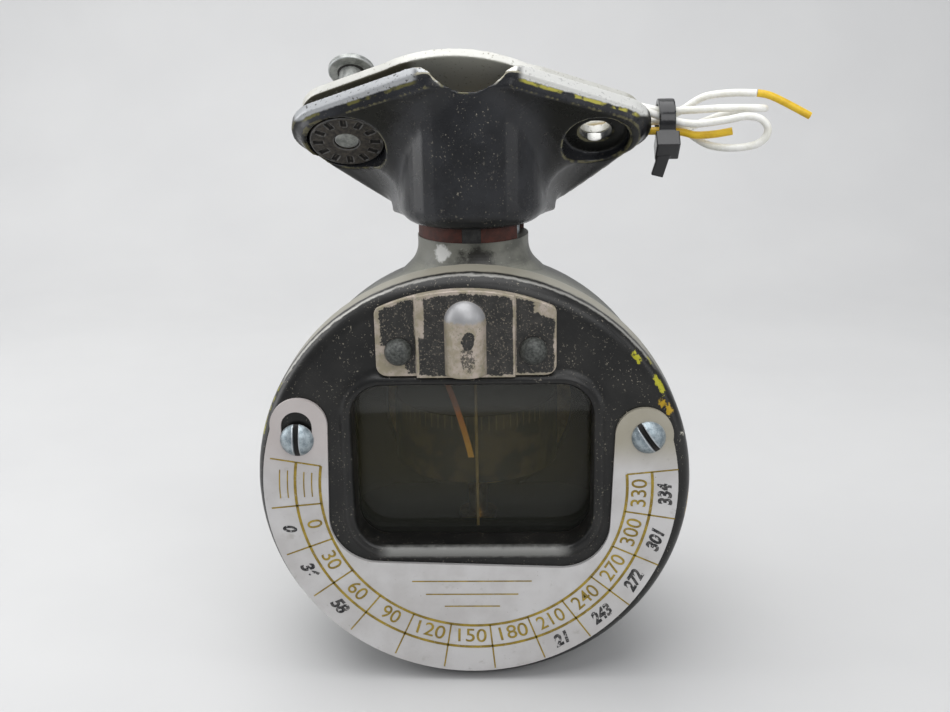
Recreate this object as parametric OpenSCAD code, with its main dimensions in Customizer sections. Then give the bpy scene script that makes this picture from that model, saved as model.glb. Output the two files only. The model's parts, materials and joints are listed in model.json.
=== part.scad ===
// Aircraft compass: a liquid-filled case with a lit window, hung by a swivel neck under a
// sloping clamp that grips a round post.
// Millimetres, +Z up, with the pilot at -Y. The origin is on the swivel axis, where it meets
// the clamp plane. "Depth" is measured back from the bezel's face, "up" from the case's axis.

/* [Case] */
// Outside diameter of the bezel
bezel_d = 82.5; // [81:0.5:88]
// Thickness of the bezel, from its face to the joint with the case
bezel_depth = 10; // [9.5:0.5:11]
// Rounding of the bezel's front edge
bezel_edge_r = 3; // [1:0.5:4]
// Outside diameter of the case's barrel
case_d = 77.4; // [77:0.1:78.6]
// Wall of the case
case_wall = 3; // [2.5:0.25:3.25]
// Front plate of the case, behind the bezel
front_plate_t = 4; // [3.5:0.25:4.5]
// Depth where the barrel starts to round in
barrel_depth = 28; // [27:0.5:29]
// Depth of the joint with the rear cover
case_depth = 50; // [49:0.5:51]
// Radius of the rounded shoulder at the back
shoulder_r = 26; // [25:0.5:27]
// Thickness of the flange that carries the rear cover
rear_flange_t = 4; // [3.5:0.25:4]
// Width of that flange
rear_flange_w = 5.6; // [5:0.2:6]
// Depth of the rear cover's dish
rear_dish_h = 5; // [4:0.5:8]

/* [Window] */
// Width of the window
window_w = 44.9; // [40:0.5:45]
// Height of the window
window_h = 32.5; // [28:0.5:32.5]
// Window centre above the case's axis
window_up = 4.3; // [4:0.1:4.4]
// Corner radius of the window
window_corner_r = 6; // [4:0.5:7]
// Radius of the raised bead round the window
lip_r = 1.25; // [1:0.25:1.75]
// Depth of the glass behind the bezel's face
glass_depth = 6; // [5:0.5:6.5]
// Thickness of the glass
glass_t = 3; // [2:0.5:3]
// Width of the glass that is covered all round
glass_margin = 2.6; // [2:0.2:2.8]

/* [Correction plate] */
// Diameter of the plate's round edge
plate_d = 78.4; // [76:0.2:80]
// Thickness of the plate
plate_t = 0.8; // [0.5:0.1:1.2]
// Turn of the plate on its slotted screw, in degrees
plate_turn = -2.1; // [-2.5:0.1:0]
// Sideways set of the plate
plate_shift = -0.6; // [-0.8:0.1:0]
// Width of the cut-out round the window
plate_cut_w = 53.7; // [53.2:0.1:54.5]
// Lower edge of the cut-out, below the case's axis
plate_cut_down = 16; // [15.9:0.1:17]
// Corner radius of the cut-out
plate_cut_r = 9.3; // [8:0.1:9.5]
// Width of the arms' round ends
lobe_w = 10.8; // [10:0.2:11.4]
// Height of the arms' round ends above the case's axis
lobe_up = 11.7; // [10.5:0.1:13]
// Distance of the plate's screws from the centre
plate_screw_x = 32.8; // [32.4:0.1:33.2]
// Height of the plate's screws
plate_screw_up = 10.2; // [9.6:0.1:10.8]
// Head diameter of the plate's screws
plate_screw_head_d = 6.5; // [6:0.1:7]
// Travel of the slot in the left arm
slot_travel = 2.6; // [1:0.2:3]
// Room at each side of the screw in that slot
slot_room = 1.3; // [1:0.1:1.4]

/* [Lamp] */
// Width of the lamp cover
cover_w = 33; // [31:0.5:34]
// Sideways set of the lamp and its cover
lamp_shift = -0.8; // [-0.8:0.1:0]
// Lower edge of the cover above the case's axis
cover_bottom = 22.7; // [22.5:0.1:23.2]
// Radius of the cover's arched top, from the case's axis
cover_top_r = 39; // [38:0.25:40]
// Thickness of the cover's sheet
cover_t = 1.2; // [1:0.1:1.5]
// Width of the raised middle
cover_step_w = 18; // [16:0.5:19]
// Outside width of the lamp housing
housing_w = 8; // [7.6:0.2:9]
// Height of the housing's round end above the case's axis
housing_end_up = 33.4; // [32.6:0.2:34]
// How far the housing's axis stands in front of the face
housing_out = 1.2; // [1:0.1:1.6]
// Distance of the cover's screws from the centre
cover_screw_x = 12.3; // [12:0.1:13]
// Height of the cover's screws
cover_screw_up = 27.4; // [26.5:0.1:28.5]
// Head diameter of the cover's domed screws
cover_screw_head_d = 5.2; // [4.8:0.1:5.6]

/* [Swivel] */
// Depth of the swivel axis behind the bezel's face
swivel_depth = 28.4; // [28:0.1:28.6]
// Drop from the clamp plane to the case's axis
case_drop = 64.4; // [64.4:0.2:72]
// Diameter of the neck
neck_d = 22.2; // [21:0.2:23]
// Top of the neck above the case's axis
neck_up = 43.3; // [43:0.1:44]
// Radius that blends the neck into the case
neck_blend_r = 6; // [4:0.5:7]
// Height of the friction ring
ring_h = 2.8; // [2.6:0.1:3.2]
// Diameter of the hollow swivel screw
stem_d = 8; // [7.6:0.1:8.2]
// Bore of the swivel screw
stem_bore_d = 4.4; // [4:0.1:4.6]
// Head diameter of the swivel screw
stem_head_d = 11; // [10.6:0.1:11.2]

/* [Bracket] */
// Diameter of the boss
boss_d = 28.6; // [27:0.2:30]
// Slope of the clamp plane, in degrees from level
clamp_tilt = 45; // [45:1:46]
// Thickness of the flange at its edge
flange_t = 2.25; // [2:0.05:2.6]
// Extra thickness of the casting under the flange, inside its edge
ear_pad_t = 1.9; // [1.6:0.1:2.2]
// Least height of the flare that joins the flange to the boss
flare_h = 4; // [3:0.25:6]
// Distance of the ear holes from the centre
ear_hole_x = 24.2; // [23.8:0.1:24.6]
// Diameter of the ear holes
ear_hole_d = 6.2; // [6:0.1:6.6]
// Radius of the ears' round ends
ear_end_r = 7.4; // [7:0.1:7.6]
// Distance of the round ends' centres from the middle
ear_end_x = 27.6; // [27:0.1:28.2]
// Diameter of the post that the groove takes
post_d = 21.6; // [20:0.2:24]
// Depth of the groove below the clamp plane
groove_depth = 4.4; // [4:0.1:4.5]

/* [Clamp] */
// Thickness of the clamp strap
cap_t = 2; // [1.2:0.1:2.6]
// Packing between the strap and the left ear
cap_gap = 2.4; // [2:0.2:3.2]
// Diameter of the clamp screw
clamp_screw_d = 4.8; // [4.4:0.1:5]
// How far the loose clamp screw stands out of the strap
clamp_slack = 9; // [0:0.5:12]
// Head diameter of the clamp screw
clamp_head_d = 9.4; // [8.5:0.1:10]
// Diameter of the round washer nut
clamp_nut_d = 14.4; // [13:0.2:15]

/* [Wires] */
// Diameter of the insulated wires
wire_d = 1.5; // [1.2:0.1:1.6]
// Width of the cable tie
tie_w = 3.2; // [2.4:0.2:3.6]
// Thickness of the cable tie
tie_t = 1.1; // [0.8:0.1:1.3]

/* [Inside] */
// Diameter of the compass card
card_d = 34; // [30:0.5:34]
// Height of the card's skirt
card_h = 14; // [9:0.5:14]
// Centre distance of a pair of compensator shafts
shaft_pitch = 6; // [5.9:0.1:6.2]
// Diameter of the compensator shafts
shaft_d = 3; // [2.8:0.1:3.2]
// Number of teeth on each compensator gear
gear_teeth = 12; // [10:2:14]

/* [Hidden] */
$fn = 64;

// Clearances: a tight fit, a running fit, and free air between pieces that turn
fit = 0.05;
running = 0.06;
free = 0.3;
eps = 0.01;
big = 200;

bezel_r = bezel_d / 2;
case_r = case_d / 2;
case_back = case_depth - rear_flange_t;
bowl_front = bezel_depth + front_plate_t;
shoulder_centre = case_r - shoulder_r;
// The shoulder turns in by no more than this angle, so a deeper case has a longer barrel
shoulder_turn = 62;
barrel_end = max(barrel_depth, case_depth - shoulder_r * sin(shoulder_turn));
shoulder_end = asin((case_depth - barrel_end) / shoulder_r);
rear_r = shoulder_centre + shoulder_r * cos(shoulder_end);
rear_bore_r = rear_r - rear_flange_w;
rear_screw_count = 6;
rear_screw_r = rear_r - rear_flange_w / 2;
rear_screw_d = 2.4;
rear_cover_t = 1.6;
diaphragm_t = 0.6;
ripple_r = 0.9;

// The floor between the liquid bowl and the dry room for the compensator
floor_top = -19;
floor_t = 3;
conduit_up = housing_end_up;
conduit_d = 3.4;
conduit_w = 8;
conduit_end = swivel_depth + conduit_w / 2;

// Screws that hold the bezel, hidden under the correction plate
bezel_screw_r = 35.2;
bezel_screw_angles = [196, 213, 327, 344];
bezel_screw_d = 2.6;
bezel_screw_head_d = 4.8;
bezel_screw_head_h = 1.6;
screw_reach = bezel_depth + front_plate_t - 0.6;
plate_screw_d = 3.2;
plate_screw_head_h = 2;
cover_screw_d = 2.4;
slot_w = 1;
slot_deep = 0.9;
plate_slot_deep = 1.6;
lip_out = lip_r * 0.8;
plate_gap = 0.25;
bead_reach = lip_out + lip_r + plate_gap;

gasket_t = 1;
gasket_w = 2.2;
lubber_r = 0.3;
pointer_w = 1.1;
pointer_top = [-6.2, 0.4];
pointer_bend = [-2.4, 7];
pointer_tip = [-0.6, -2];
lubber_depth = glass_depth + glass_t + gasket_t - lubber_r - 0.1;
window_low = window_up - window_h / 2;
window_high = window_up + window_h / 2;

bulb_r = 2.1;
bulb_low = 2.6;
bulb_base = housing_end_up - 3;
holder_r = housing_w / 2 - cover_t - free;
holder_deep = 3;
cover_corner_r = 2;
cover_top_corner_r = 1.3;
hood_lift = 0.6;
cover_dome_h = 2.5;
cover_screw_l = 3.5;

// Swivel, from the neck upwards
neck_top = neck_up - case_drop;
boss_bottom = neck_top + ring_h;
boss_floor_t = 2.3;
boss_floor = boss_bottom + boss_floor_t;
washer_t = 0.6;
stem_head_h = 2;
well_room = 0.7;
stem_reach = 6.3;
stem_bottom = neck_top - stem_reach;
ring_inset = 0.2;
ring_r = neck_d / 2 - ring_inset;
ring_bore_r = stem_d / 2 + free;
ring_gap_from = 54;
ring_gap_to = 110;
stop_pin_angle = (ring_gap_from + ring_gap_to) / 2;
stop_pin_d = 2.4;
stop_pin_r = 8.2;
stop_pin_sunk = 1.5;
key_w = 3.6;
key_deep = 3;
key_sunk = 1;
boss_round = 3;

// Bracket outline on the clamp plane: x across, y down the slope
ear_hole_y = -0.6;
ear_end_y = -1.2;
post_r = post_d / 2;
groove_half = sqrt(post_r * post_r - pow(post_r - groove_depth, 2));
flange_top_y = -18.4;
flange_low = [9, 23];
flange_side = [18.2, 21.6];
flange_bend = [24.8, 14.2];
ear_low_angle = 55;
// The boss widens to these rear corners, and the flare grows with the flange's reach beyond it
web_corner = [17.2, 9];
flare_in = 0.5;
flare_sunk = 0.35;
pad_in = 2.2;
pad_lift = 1;
flare_lead = 0.6;
flare_rate = 0.3;
flare_foot = 0.4;
spot_d = clamp_nut_d + 1;
right_spot_d = 13;
nut_t = 1.65;
cap_low_y = 1.5;
cap_ear_r = 7.2;
cap_bend_from = [-16, cap_gap];
cap_bend_over = [-2, cap_gap + 1.6];
cap_scale = 0.95;
cap_front_r = 40;
cap_front_x = 16.9;
cap_front_y = -17.3;
strap_room = 0.2;
spacer_d = 11;
cap_bend_to = [11, 0];
nut_notch = [2, 1.1, 0.8];
nut_notch_in = 1.6;
clamp_head_side = 1;
clamp_dome_h = 2.2;
clamp_tip = 0.4;

// Wire outlet through the bracket, from the screw's counterbore to the right of the groove
outlet_start = [4.5, 2, -11.5];
outlet_dir = [0.8, 0.35, 0.49];
outlet_seat = 10.3;
grommet_r = 2.9;
grommet_flange_r = 3.9;
grommet_flange_t = 1.3;
grommet_bore_r = 2.1;
grommet_start = 8.4;

// Wires: hand-chosen points from the outlet to their ends
tie_at = [38.3, 3.5, -0.1];
tie_inner_r = 3.45;
tie_head = [4.6, 4.8, 3.4];
tie_tail = [2.4, 1, 6.5];
white_lead_route = [[11.2, 4.9, -6.2], [14.4, 6.3, -4.1], [18, 7.8, -2], [25, 7.8, -0.3],
    [31.6, 6.5, 0.2], [38.3, 5.5, 0.3], [42, 5.8, 2], [46, 5.4, 4.4], [51, 4.4, 5.2],
    [56, 3.5, 5.2]];
yellow_tail_route = [[56.2, 3.5, 5.2], [58.6, 3.2, 4.7], [62, 2.9, 3.1], [66.5, 2.6, 0.7]];
yellow_lead_route = [[12.3, 4.4, -7.6], [15.6, 5.8, -5.7], [19.2, 7.2, -3.7], [25, 7.2, -2.3],
    [29, 5.9, -1.9], [32.5, 3.9, -1.9], [35.2, 2.7, -1.8], [38.3, 2, -1.7], [41.6, 1.7, -2],
    [44, 1, -2.5], [47.5, 0.4, -2.3], [51, 0, -1.7]];
white_hank_route = [[11.5, 6.2, -7.6], [14.7, 7.6, -5.7], [18.4, 9.2, -3.6], [25, 9.6, -1.9],
    [32, 6.8, -2], [38.3, 4.5, -2], [42, 5.8, -2.2], [45.5, 7.2, -1], [50, 7.3, 0.6],
    [54.4, 6.7, 1.8], [56.8, 5.7, 2], [57.8, 3.7, 2.2], [56.8, 1.7, 2.4], [54.4, 0.8, 2.6],
    [49, 1.2, 2.6], [43.5, 2.6, 2.2], [38.3, 3.8, 2], [35.2, 5, 2.4], [33.2, 6.5, 2.8],
    [31.2, 6.8, 3.2], [29.5, 5.3, 3.6], [29.7, 3.2, 3.8], [31.6, 1.9, 3.5], [34.6, 1.6, 2.2],
    [38.3, 1.6, 0.7], [43.5, 0.1, -0.2], [49.5, -1.2, 0.6], [53.2, -1.8, 1.3], [55.9, -2, 0.8],
    [57.4, -2, -0.9], [57, -1.9, -2.9], [54.9, -1.5, -4.3], [51, -0.6, -4.9], [47, 1.2, -4.6],
    [44.2, 3.1, -3.2], [41.6, 3.5, -1.1], [38.3, 3.5, -0.1], [35.6, 3.5, 0]];
lamp_lead_route = [[0, -25.2, -31], [0, -14, -31], [0, -5, -31], [0, -2.2, -30.2],
    [0, -0.6, -28.4], [0, 0, -26], [0, 0, -20], [0, 0, -12.5]];

// Card and compensator
card_r = card_d / 2;
card_wall = 0.8;
card_low = -4;
card_top = card_low + card_h;
hub_r = 6;
float_r = 9;
float_low = 0;
float_cup_r = 3.6;
float_cup_top = 2.2;
needle_r = 0.6;
needle_tip = 0.7;
magnet_rod_r = 1.2;
magnet_rod_x = 5.2;
magnet_rod_l = 13;
post_top = -1;
post_stem_r = 2;
post_foot_r = 4;
post_foot_h = 1.5;
jewel_r = 1.6;
jewel_top = needle_tip - free;
shaft_r = shaft_d / 2;
shaft_up = -28.5;
north_x = shaft_pitch / 2;
east_front = 32;
gear_root_r = shaft_pitch / 2 - 0.55;
gear_tip_r = shaft_pitch / 2 + 0.4;
gear_t = 2.4;
small_magnet_r = 1;
small_magnet_l = 5;
frame_front = bezel_depth + free;
north_room = [16, 26];
east_room = [28.2, 41.6];
frame_back = 42.4;
room_half = 12;
north_half = 8;
access_r = 2;

function unit(v) = v / norm(v);
function polar(r, a) = [r * cos(a), r * sin(a)];
function arc(centre, r, from, to, steps) =
    [for (i = [0:steps]) centre + polar(r, from + (to - from) * i / steps)];
function bend(a, b, c, steps) =
    [for (i = [0:steps]) let (t = i / steps)
        (1 - t) * (1 - t) * a + 2 * t * (1 - t) * b + t * t * c];

// A smooth line through chosen points, and a round tube along it
function smooth(a, b, c, d, t) =
    0.5 * (2 * b + (c - a) * t + (2 * a - 5 * b + 4 * c - d) * t * t
        + (3 * b - a - 3 * c + d) * t * t * t);
function route(points, step) = let (last = len(points) - 1) concat(
    [for (i = [0:last - 1]) let (n = max(1, round(norm(points[i + 1] - points[i]) / step)))
        for (k = [0:n - 1]) smooth(points[max(i - 1, 0)], points[i], points[i + 1],
            points[min(i + 2, last)], k / n)],
    [points[last]]);
function headings(line) = let (last = len(line) - 1)
    [for (i = [0:last]) unit(line[min(i + 1, last)] - line[max(i - 1, 0)])];
function sides_of(heads, side, i = 0) = i >= len(heads) ? [] :
    let (s = unit(side - (side * heads[i]) * heads[i]))
        concat([s], sides_of(heads, s, i + 1));
function least_gap(line, width, apart) = min(
    [for (i = [0:len(line) - 2]) for (j = [i + 1:len(line) - 1])
        if ((j - i) * apart > 3 * width) norm(line[i] - line[j]) - width]);

module tube(points, width, step) {
    corners = 8;
    line = route(points, step);
    heads = headings(line);
    sides = sides_of(heads, [0.1, 0.9, 0.4]);
    last = len(line) - 1;
    vertices = [for (i = [0:last]) for (k = [0:corners - 1]) let (a = 360 * k / corners)
        line[i] + width / 2 * (cos(a) * sides[i] + sin(a) * cross(heads[i], sides[i]))];
    walls = [for (i = [0:last - 1]) for (k = [0:corners - 1])
        let (a = i * corners + k, b = i * corners + (k + 1) % corners)
            each [[a, a + corners, b], [b, a + corners, b + corners]]];
    first_end = [for (k = [1:corners - 2]) [0, k, k + 1]];
    far_end = [for (k = [1:corners - 2]) let (e = last * corners) [e, e + k + 1, e + k]];
    polyhedron(points = vertices, faces = concat(walls, first_end, far_end));
}

// Places: the bezel's face, seen from the front, and the clamp plane
module at_face(depth) {
    translate([0, depth - swivel_depth, -case_drop]) rotate([90, 0, 0]) children();
}
module at_slope(height = 0) {
    rotate([-clamp_tilt, 0, 0]) translate([0, 0, height]) children();
}
module at_outlet(along) {
    d = unit(outlet_dir);
    translate(outlet_start + along * d) rotate([0, acos(d[2]), atan2(d[1], d[0])]) children();
}
module at_ear(side, height = 0) {
    at_slope(height) translate([side * ear_hole_x, ear_hole_y, 0]) children();
}
module at_ring_angle(a, r) {
    rotate([0, 0, a - 90]) translate([r, 0, 0]) children();
}

module rounded(w, h, r) {
    square([w - 2 * r, h], center = true);
    square([w, h - 2 * r], center = true);
    for (x = [-1, 1]) for (y = [-1, 1])
        translate([x * (w / 2 - r), y * (h / 2 - r)]) circle(r);
}

// A bead of round section along a rounded rectangle
module bead(w, h, corner_r, r) {
    x = w / 2 - corner_r;
    y = h / 2 - corner_r;
    for (s = [-1, 1]) {
        translate([0, s * h / 2, 0]) rotate([0, 90, 0]) cylinder(r = r, h = 2 * x, center = true);
        translate([s * w / 2, 0, 0]) rotate([90, 0, 0]) cylinder(r = r, h = 2 * y, center = true);
    }
    for (q = [0:3])
        translate([(q == 0 || q == 3 ? 1 : -1) * x, (q < 2 ? 1 : -1) * y, 0])
            rotate([0, 0, 90 * q]) rotate_extrude(angle = 90) translate([corner_r, 0]) circle(r);
}

// Screw with a domed head on the plane z = 0 and a shank below it
module dome_head(d, h) {
    r = (d * d / 4 + h * h) / (2 * h);
    intersection() {
        translate([0, 0, h - r]) sphere(r);
        cylinder(d = d, h = h);
    }
}
module slotted_screw(head_d, head_h, shank_d, shank_l, turn, deep = slot_deep) {
    difference() {
        dome_head(head_d, head_h);
        rotate([0, 0, turn]) translate([0, 0, head_h - deep + big / 2])
            cube([slot_w, big, big], center = true);
    }
    translate([0, 0, -shank_l]) cylinder(d = shank_d, h = shank_l + eps);
}

// Spur gear with its axis on z
module gear(phase) {
    pitch = 360 / gear_teeth;
    points = [for (i = [0:gear_teeth - 1]) let (a = i * pitch + phase) each [
        polar(gear_root_r, a - 0.21 * pitch), polar(gear_tip_r, a - 0.085 * pitch),
        polar(gear_tip_r, a + 0.085 * pitch), polar(gear_root_r, a + 0.21 * pitch)]];
    linear_extrude(gear_t) polygon(points);
}
module cross_hole() {
    rotate([0, 90, 0]) cylinder(r = small_magnet_r + fit, h = 4 * shaft_r, center = true);
}
module cross_magnet() {
    rotate([0, 90, 0]) cylinder(r = small_magnet_r, h = small_magnet_l, center = true);
}

// Shell of the case as a turned profile, seen with depth downwards
module turned(points) {
    at_face(0) rotate_extrude() polygon([for (p = points) [p[0], -p[1]]]);
}
function shoulder(r, from, to, steps) =
    [for (i = [0:steps]) let (a = from + (to - from) * i / steps)
        [shoulder_centre + r * cos(a), barrel_end + r * sin(a)]];
function inner_shoulder(gap) = let (r = shoulder_r - case_wall - gap)
    shoulder(r, 0, asin((case_back - gap - barrel_end) / r), 16);
module hollow(front, gap = 0) {
    turned(concat([[0, front], [case_r - case_wall - gap, front]], inner_shoulder(gap),
        [[0, case_back - gap]]));
}
module above_case(up, down = false) {
    translate([-big / 2, -big / 2, up - case_drop - (down ? big : 0)]) cube(big);
}

// Bracket and clamp
ear_end = [ear_end_x, ear_end_y];
groove_corner = [groove_half, flange_top_y];
ear_top_angle = let (v = groove_corner - ear_end)
    atan2(v[1], v[0]) + acos(ear_end_r / norm(v));
ear_tangent = ear_end + polar(ear_end_r, ear_top_angle);
ear_low = ear_end + polar(ear_end_r, ear_low_angle);
module flange_outline() {
    half = concat([groove_corner, ear_tangent, ear_end],
        bend(ear_low, flange_bend, flange_side, 12), [flange_low]);
    polygon(concat(half, [for (i = [len(half) - 1:-1:0]) [-half[i][0], half[i][1]]]));
    for (s = [-1, 1]) translate([s * ear_end_x, ear_end_y]) circle(ear_end_r);
}

// Casting under the flange: rings that sweep in from its outline and down the boss
function from_slope(p, n) = [p[0], p[1] * cos(clamp_tilt) + n * sin(clamp_tilt),
    n * cos(clamp_tilt) - p[1] * sin(clamp_tilt)];
function between(a, b, steps) = [for (i = [0:steps - 1]) a + (b - a) * i / steps];
function flare_half() = let (sweep = bend(ear_low, flange_bend, flange_side, 8)) concat(
    between([0, flange_top_y], groove_corner, 3), between(groove_corner, ear_tangent, 6),
    arc(ear_end, ear_end_r, ear_top_angle, ear_low_angle, 7),
    [for (i = [1:len(sweep) - 2]) sweep[i]], between(flange_side, flange_low, 2),
    between(flange_low, [0, flange_low[1]], 2), [[0, flange_low[1]]]);
function flare_round() = let (half = flare_half()) concat(half,
    [for (i = [len(half) - 2:-1:1]) [-half[i][0], half[i][1]]]);
function inset(p, d) = p * (1 - d / norm(p));
function boss_reach(a) = let (t = acos(boss_d / 2 / norm(web_corner)),
    off = abs(a - atan2(web_corner[1], web_corner[0])))
    boss_d / 2 / cos(max(0, t - off));
function flare_line(p, steps) = let (
    flat = from_slope(inset(p, pad_in), -flange_t - ear_pad_t),
    boss_r = boss_reach(atan2(flat[1], abs(flat[0]))),
    reach = norm([flat[0], flat[1]]) - boss_r,
    a = atan2(flat[1], flat[0]),
    wall = polar(boss_r, a),
    plane = (-flange_t - ear_pad_t - wall[1] * sin(clamp_tilt)) / cos(clamp_tilt),
    low = boss_bottom + pad_lift,
    pad = reach < 0 ? [wall[0], wall[1], max(low, plane)] : [flat[0], flat[1], max(low, flat[2])],
    foot = max(plane - flare_h - flare_rate * max(0, reach), boss_bottom + flare_foot),
    under = max(plane - flare_lead, foot),
    rise = min(boss_round, 0.8 * (foot - boss_bottom)))
    concat([from_slope(inset(p, flare_in), flare_sunk - flange_t)],
        bend(pad, [wall[0], wall[1], under], [wall[0], wall[1], foot], steps),
        [for (q = [0:22.5:90]) let (r = polar(boss_r - boss_round * (1 - cos(q)), a))
            [r[0], r[1], boss_bottom + rise * (1 - sin(q))]]);
module flare() {
    lines = [for (p = flare_round()) flare_line(p, 8)];
    count = len(lines);
    last = len(lines[0]) - 1;
    rings = [for (i = [0:last]) for (k = [0:count - 1]) lines[k][i]];
    top = count * (last + 1);
    walls = [for (i = [0:last - 1]) for (k = [0:count - 1])
        let (a = i * count + k, b = i * count + (k + 1) % count)
            each [[a, b, a + count], [b, b + count, a + count]]];
    caps = [for (k = [0:count - 1]) let (next = (k + 1) % count)
        each [[top, next, k], [top + 1, last * count + k, last * count + next]]];
    polyhedron(points = concat(rings, [from_slope([0, 0], flare_sunk - flange_t),
        [0, 0, boss_bottom]]), faces = concat(walls, caps));
}
module bracket() {
    color([0.17, 0.18, 0.19]) difference() {
        union() {
            at_slope(-flange_t) linear_extrude(flange_t) flange_outline();
            flare();
        }
        at_slope(post_r - groove_depth) rotate([90, 0, 0])
            cylinder(r = post_r, h = big, center = true);
        translate([0, 0, -big / 2]) cylinder(d = stem_d + 2 * running, h = big / 2);
        translate([0, 0, boss_floor]) cylinder(d = stem_head_d + 2 * well_room, h = big);
        for (s = [-1, 1])
            at_ear(s, -big / 2) cylinder(d = ear_hole_d, h = big);
        at_ear(-1, -flange_t - big) cylinder(d = spot_d, h = big);
        at_ear(1, -flange_t - big) cylinder(d = right_spot_d, h = big);
        at_outlet(0) cylinder(r = grommet_r, h = big);
        at_outlet(outlet_seat) cylinder(r = grommet_flange_r + fit, h = big);
        at_ring_angle(0, ring_r - key_deep / 2)
            translate([-key_deep / 2 - fit, -key_w / 2 - fit, boss_bottom - eps])
                cube([key_deep + 2 * fit, key_w + 2 * fit, key_sunk + eps]);
    }
}
module clamp_cap() {
    lower = concat([[-big, cap_gap]], bend(cap_bend_from, cap_bend_over, cap_bend_to, 16),
        [[big, 0]]);
    upper = [for (i = [len(lower) - 1:-1:0]) lower[i] + [0, cap_t]];
    color([0.82, 0.81, 0.76]) difference() {
        intersection() {
            at_slope() rotate([90, 0, 0]) linear_extrude(big, center = true)
                polygon(concat(lower, upper));
            at_slope(-1) linear_extrude(big / 4) intersection() {
                scale(cap_scale) flange_outline();
                union() {
                    translate([0, cap_front_y + cap_front_r]) circle(cap_front_r);
                    for (s = [-1, 1]) translate([s * (cap_front_x + big / 2), 0])
                        square(big, center = true);
                }
                union() {
                    translate([-big / 2, cap_low_y - big]) square(big);
                    for (s = [-1, 1]) translate([s * ear_hole_x, ear_hole_y]) circle(cap_ear_r);
                }
            }
        }
        at_ear(-1) cylinder(d = clamp_screw_d + 2 * fit, h = big);
        at_ear(1, -1) cylinder(d = ear_hole_d + 2 * strap_room, h = big);
    }
}
module clamp_spacer() {
    color([0.55, 0.55, 0.5]) difference() {
        at_ear(-1) cylinder(d = spacer_d, h = cap_gap);
        at_ear(-1, -1) cylinder(d = clamp_screw_d + 2 * fit, h = big);
    }
}
module clamp_screw() {
    seat = cap_gap + cap_t + clamp_slack;
    shank = seat + flange_t + nut_t - clamp_tip;
    color([0.6, 0.6, 0.58]) {
        at_ear(-1, seat) cylinder(d = clamp_head_d, h = clamp_head_side + eps);
        at_ear(-1, seat + clamp_head_side)
            slotted_screw(clamp_head_d, clamp_dome_h, clamp_screw_d, shank + clamp_head_side, 30);
    }
}
module clamp_nut() {
    color([0.3, 0.28, 0.26]) difference() {
        at_ear(-1, -flange_t - nut_t) cylinder(d = clamp_nut_d, h = nut_t);
        at_ear(-1, -big / 2) cylinder(d = clamp_screw_d + 2 * fit, h = big);
        for (i = [0:11])
            at_ear(-1, -flange_t - nut_t) rotate([0, 0, 30 * i])
                translate([clamp_nut_d / 2 - nut_notch_in, 0, 0]) cube(nut_notch, center = true);
    }
}

// Wires at the right ear
module wire_grommet() {
    color([0.1, 0.1, 0.1]) difference() {
        union() {
            at_outlet(grommet_start) cylinder(r = grommet_r - fit, h = outlet_seat - grommet_start);
            at_outlet(outlet_seat) cylinder(r = grommet_flange_r, h = grommet_flange_t);
        }
        at_outlet(0) cylinder(r = grommet_bore_r, h = big);
    }
}
module white_hank() {
    step = 2.6;
    color([0.92, 0.91, 0.87]) tube(white_hank_route, wire_d, step);
}
module white_lead() {
    color([0.92, 0.91, 0.87]) tube(white_lead_route, wire_d, 3);
}
module yellow_tail() {
    color([0.9, 0.72, 0.08]) tube(yellow_tail_route, wire_d, 3);
}
module yellow_lead() {
    color([0.9, 0.72, 0.08]) tube(yellow_lead_route, wire_d, 3);
}
module cable_tie() {
    color([0.06, 0.06, 0.07]) translate(tie_at) {
        difference() {
            union() {
                rotate([0, 90, 0]) cylinder(r = tie_inner_r + tie_t, h = tie_w, center = true);
                rotate([-45, 0, 0]) translate([0, 0, -tie_inner_r - tie_head[2] / 2 - 0.6])
                    cube(tie_head, center = true);
            }
            rotate([0, 90, 0]) cylinder(r = tie_inner_r, h = big, center = true);
        }
        translate([-0.9, -3.6, -7.2]) rotate([18, 14, 0]) cube(tie_tail, center = true);
    }
}

// Swivel
module friction_ring() {
    color([0.42, 0.19, 0.13]) difference() {
        translate([0, 0, neck_top + eps]) cylinder(r = ring_r, h = ring_h - eps);
        translate([0, 0, neck_top - 1]) cylinder(r = ring_bore_r, h = ring_h + 2);
        translate([0, 0, neck_top - 1]) linear_extrude(ring_h + 2)
            polygon(concat([[0, 0]], arc([0, 0], 2 * ring_r, ring_gap_from - 90, ring_gap_to - 90, 6)));
        at_ring_angle(0, ring_r - key_deep - fit)
            translate([0, -key_w / 2 - fit, neck_top - 1])
                cube([big, key_w + 2 * fit, ring_h + 2]);
    }
}
module ring_key() {
    color([0.12, 0.12, 0.12]) at_ring_angle(0, ring_r - key_deep)
        translate([0, -key_w / 2, neck_top + eps]) cube([key_deep, key_w, ring_h + key_sunk - 2 * eps]);
}
module stop_pin() {
    color([0.5, 0.5, 0.48]) at_ring_angle(stop_pin_angle, stop_pin_r)
        translate([0, 0, neck_top - stop_pin_sunk])
            cylinder(d = stop_pin_d, h = stop_pin_sunk + ring_h - free);
}
module swivel_screw() {
    head_bottom = boss_floor + washer_t;
    color([0.62, 0.5, 0.26]) difference() {
        union() {
            translate([0, 0, stem_bottom]) cylinder(d = stem_d, h = head_bottom - stem_bottom + eps);
            translate([0, 0, head_bottom]) cylinder(d = stem_head_d, h = stem_head_h);
        }
        translate([0, 0, stem_bottom - 1]) cylinder(d = stem_bore_d, h = big);
    }
}
module wave_washer() {
    color([0.6, 0.6, 0.58]) difference() {
        translate([0, 0, boss_floor + eps]) cylinder(d = stem_head_d, h = washer_t - eps);
        translate([0, 0, boss_floor - 1]) cylinder(d = stem_d + 2 * free, h = big);
    }
}

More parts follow.
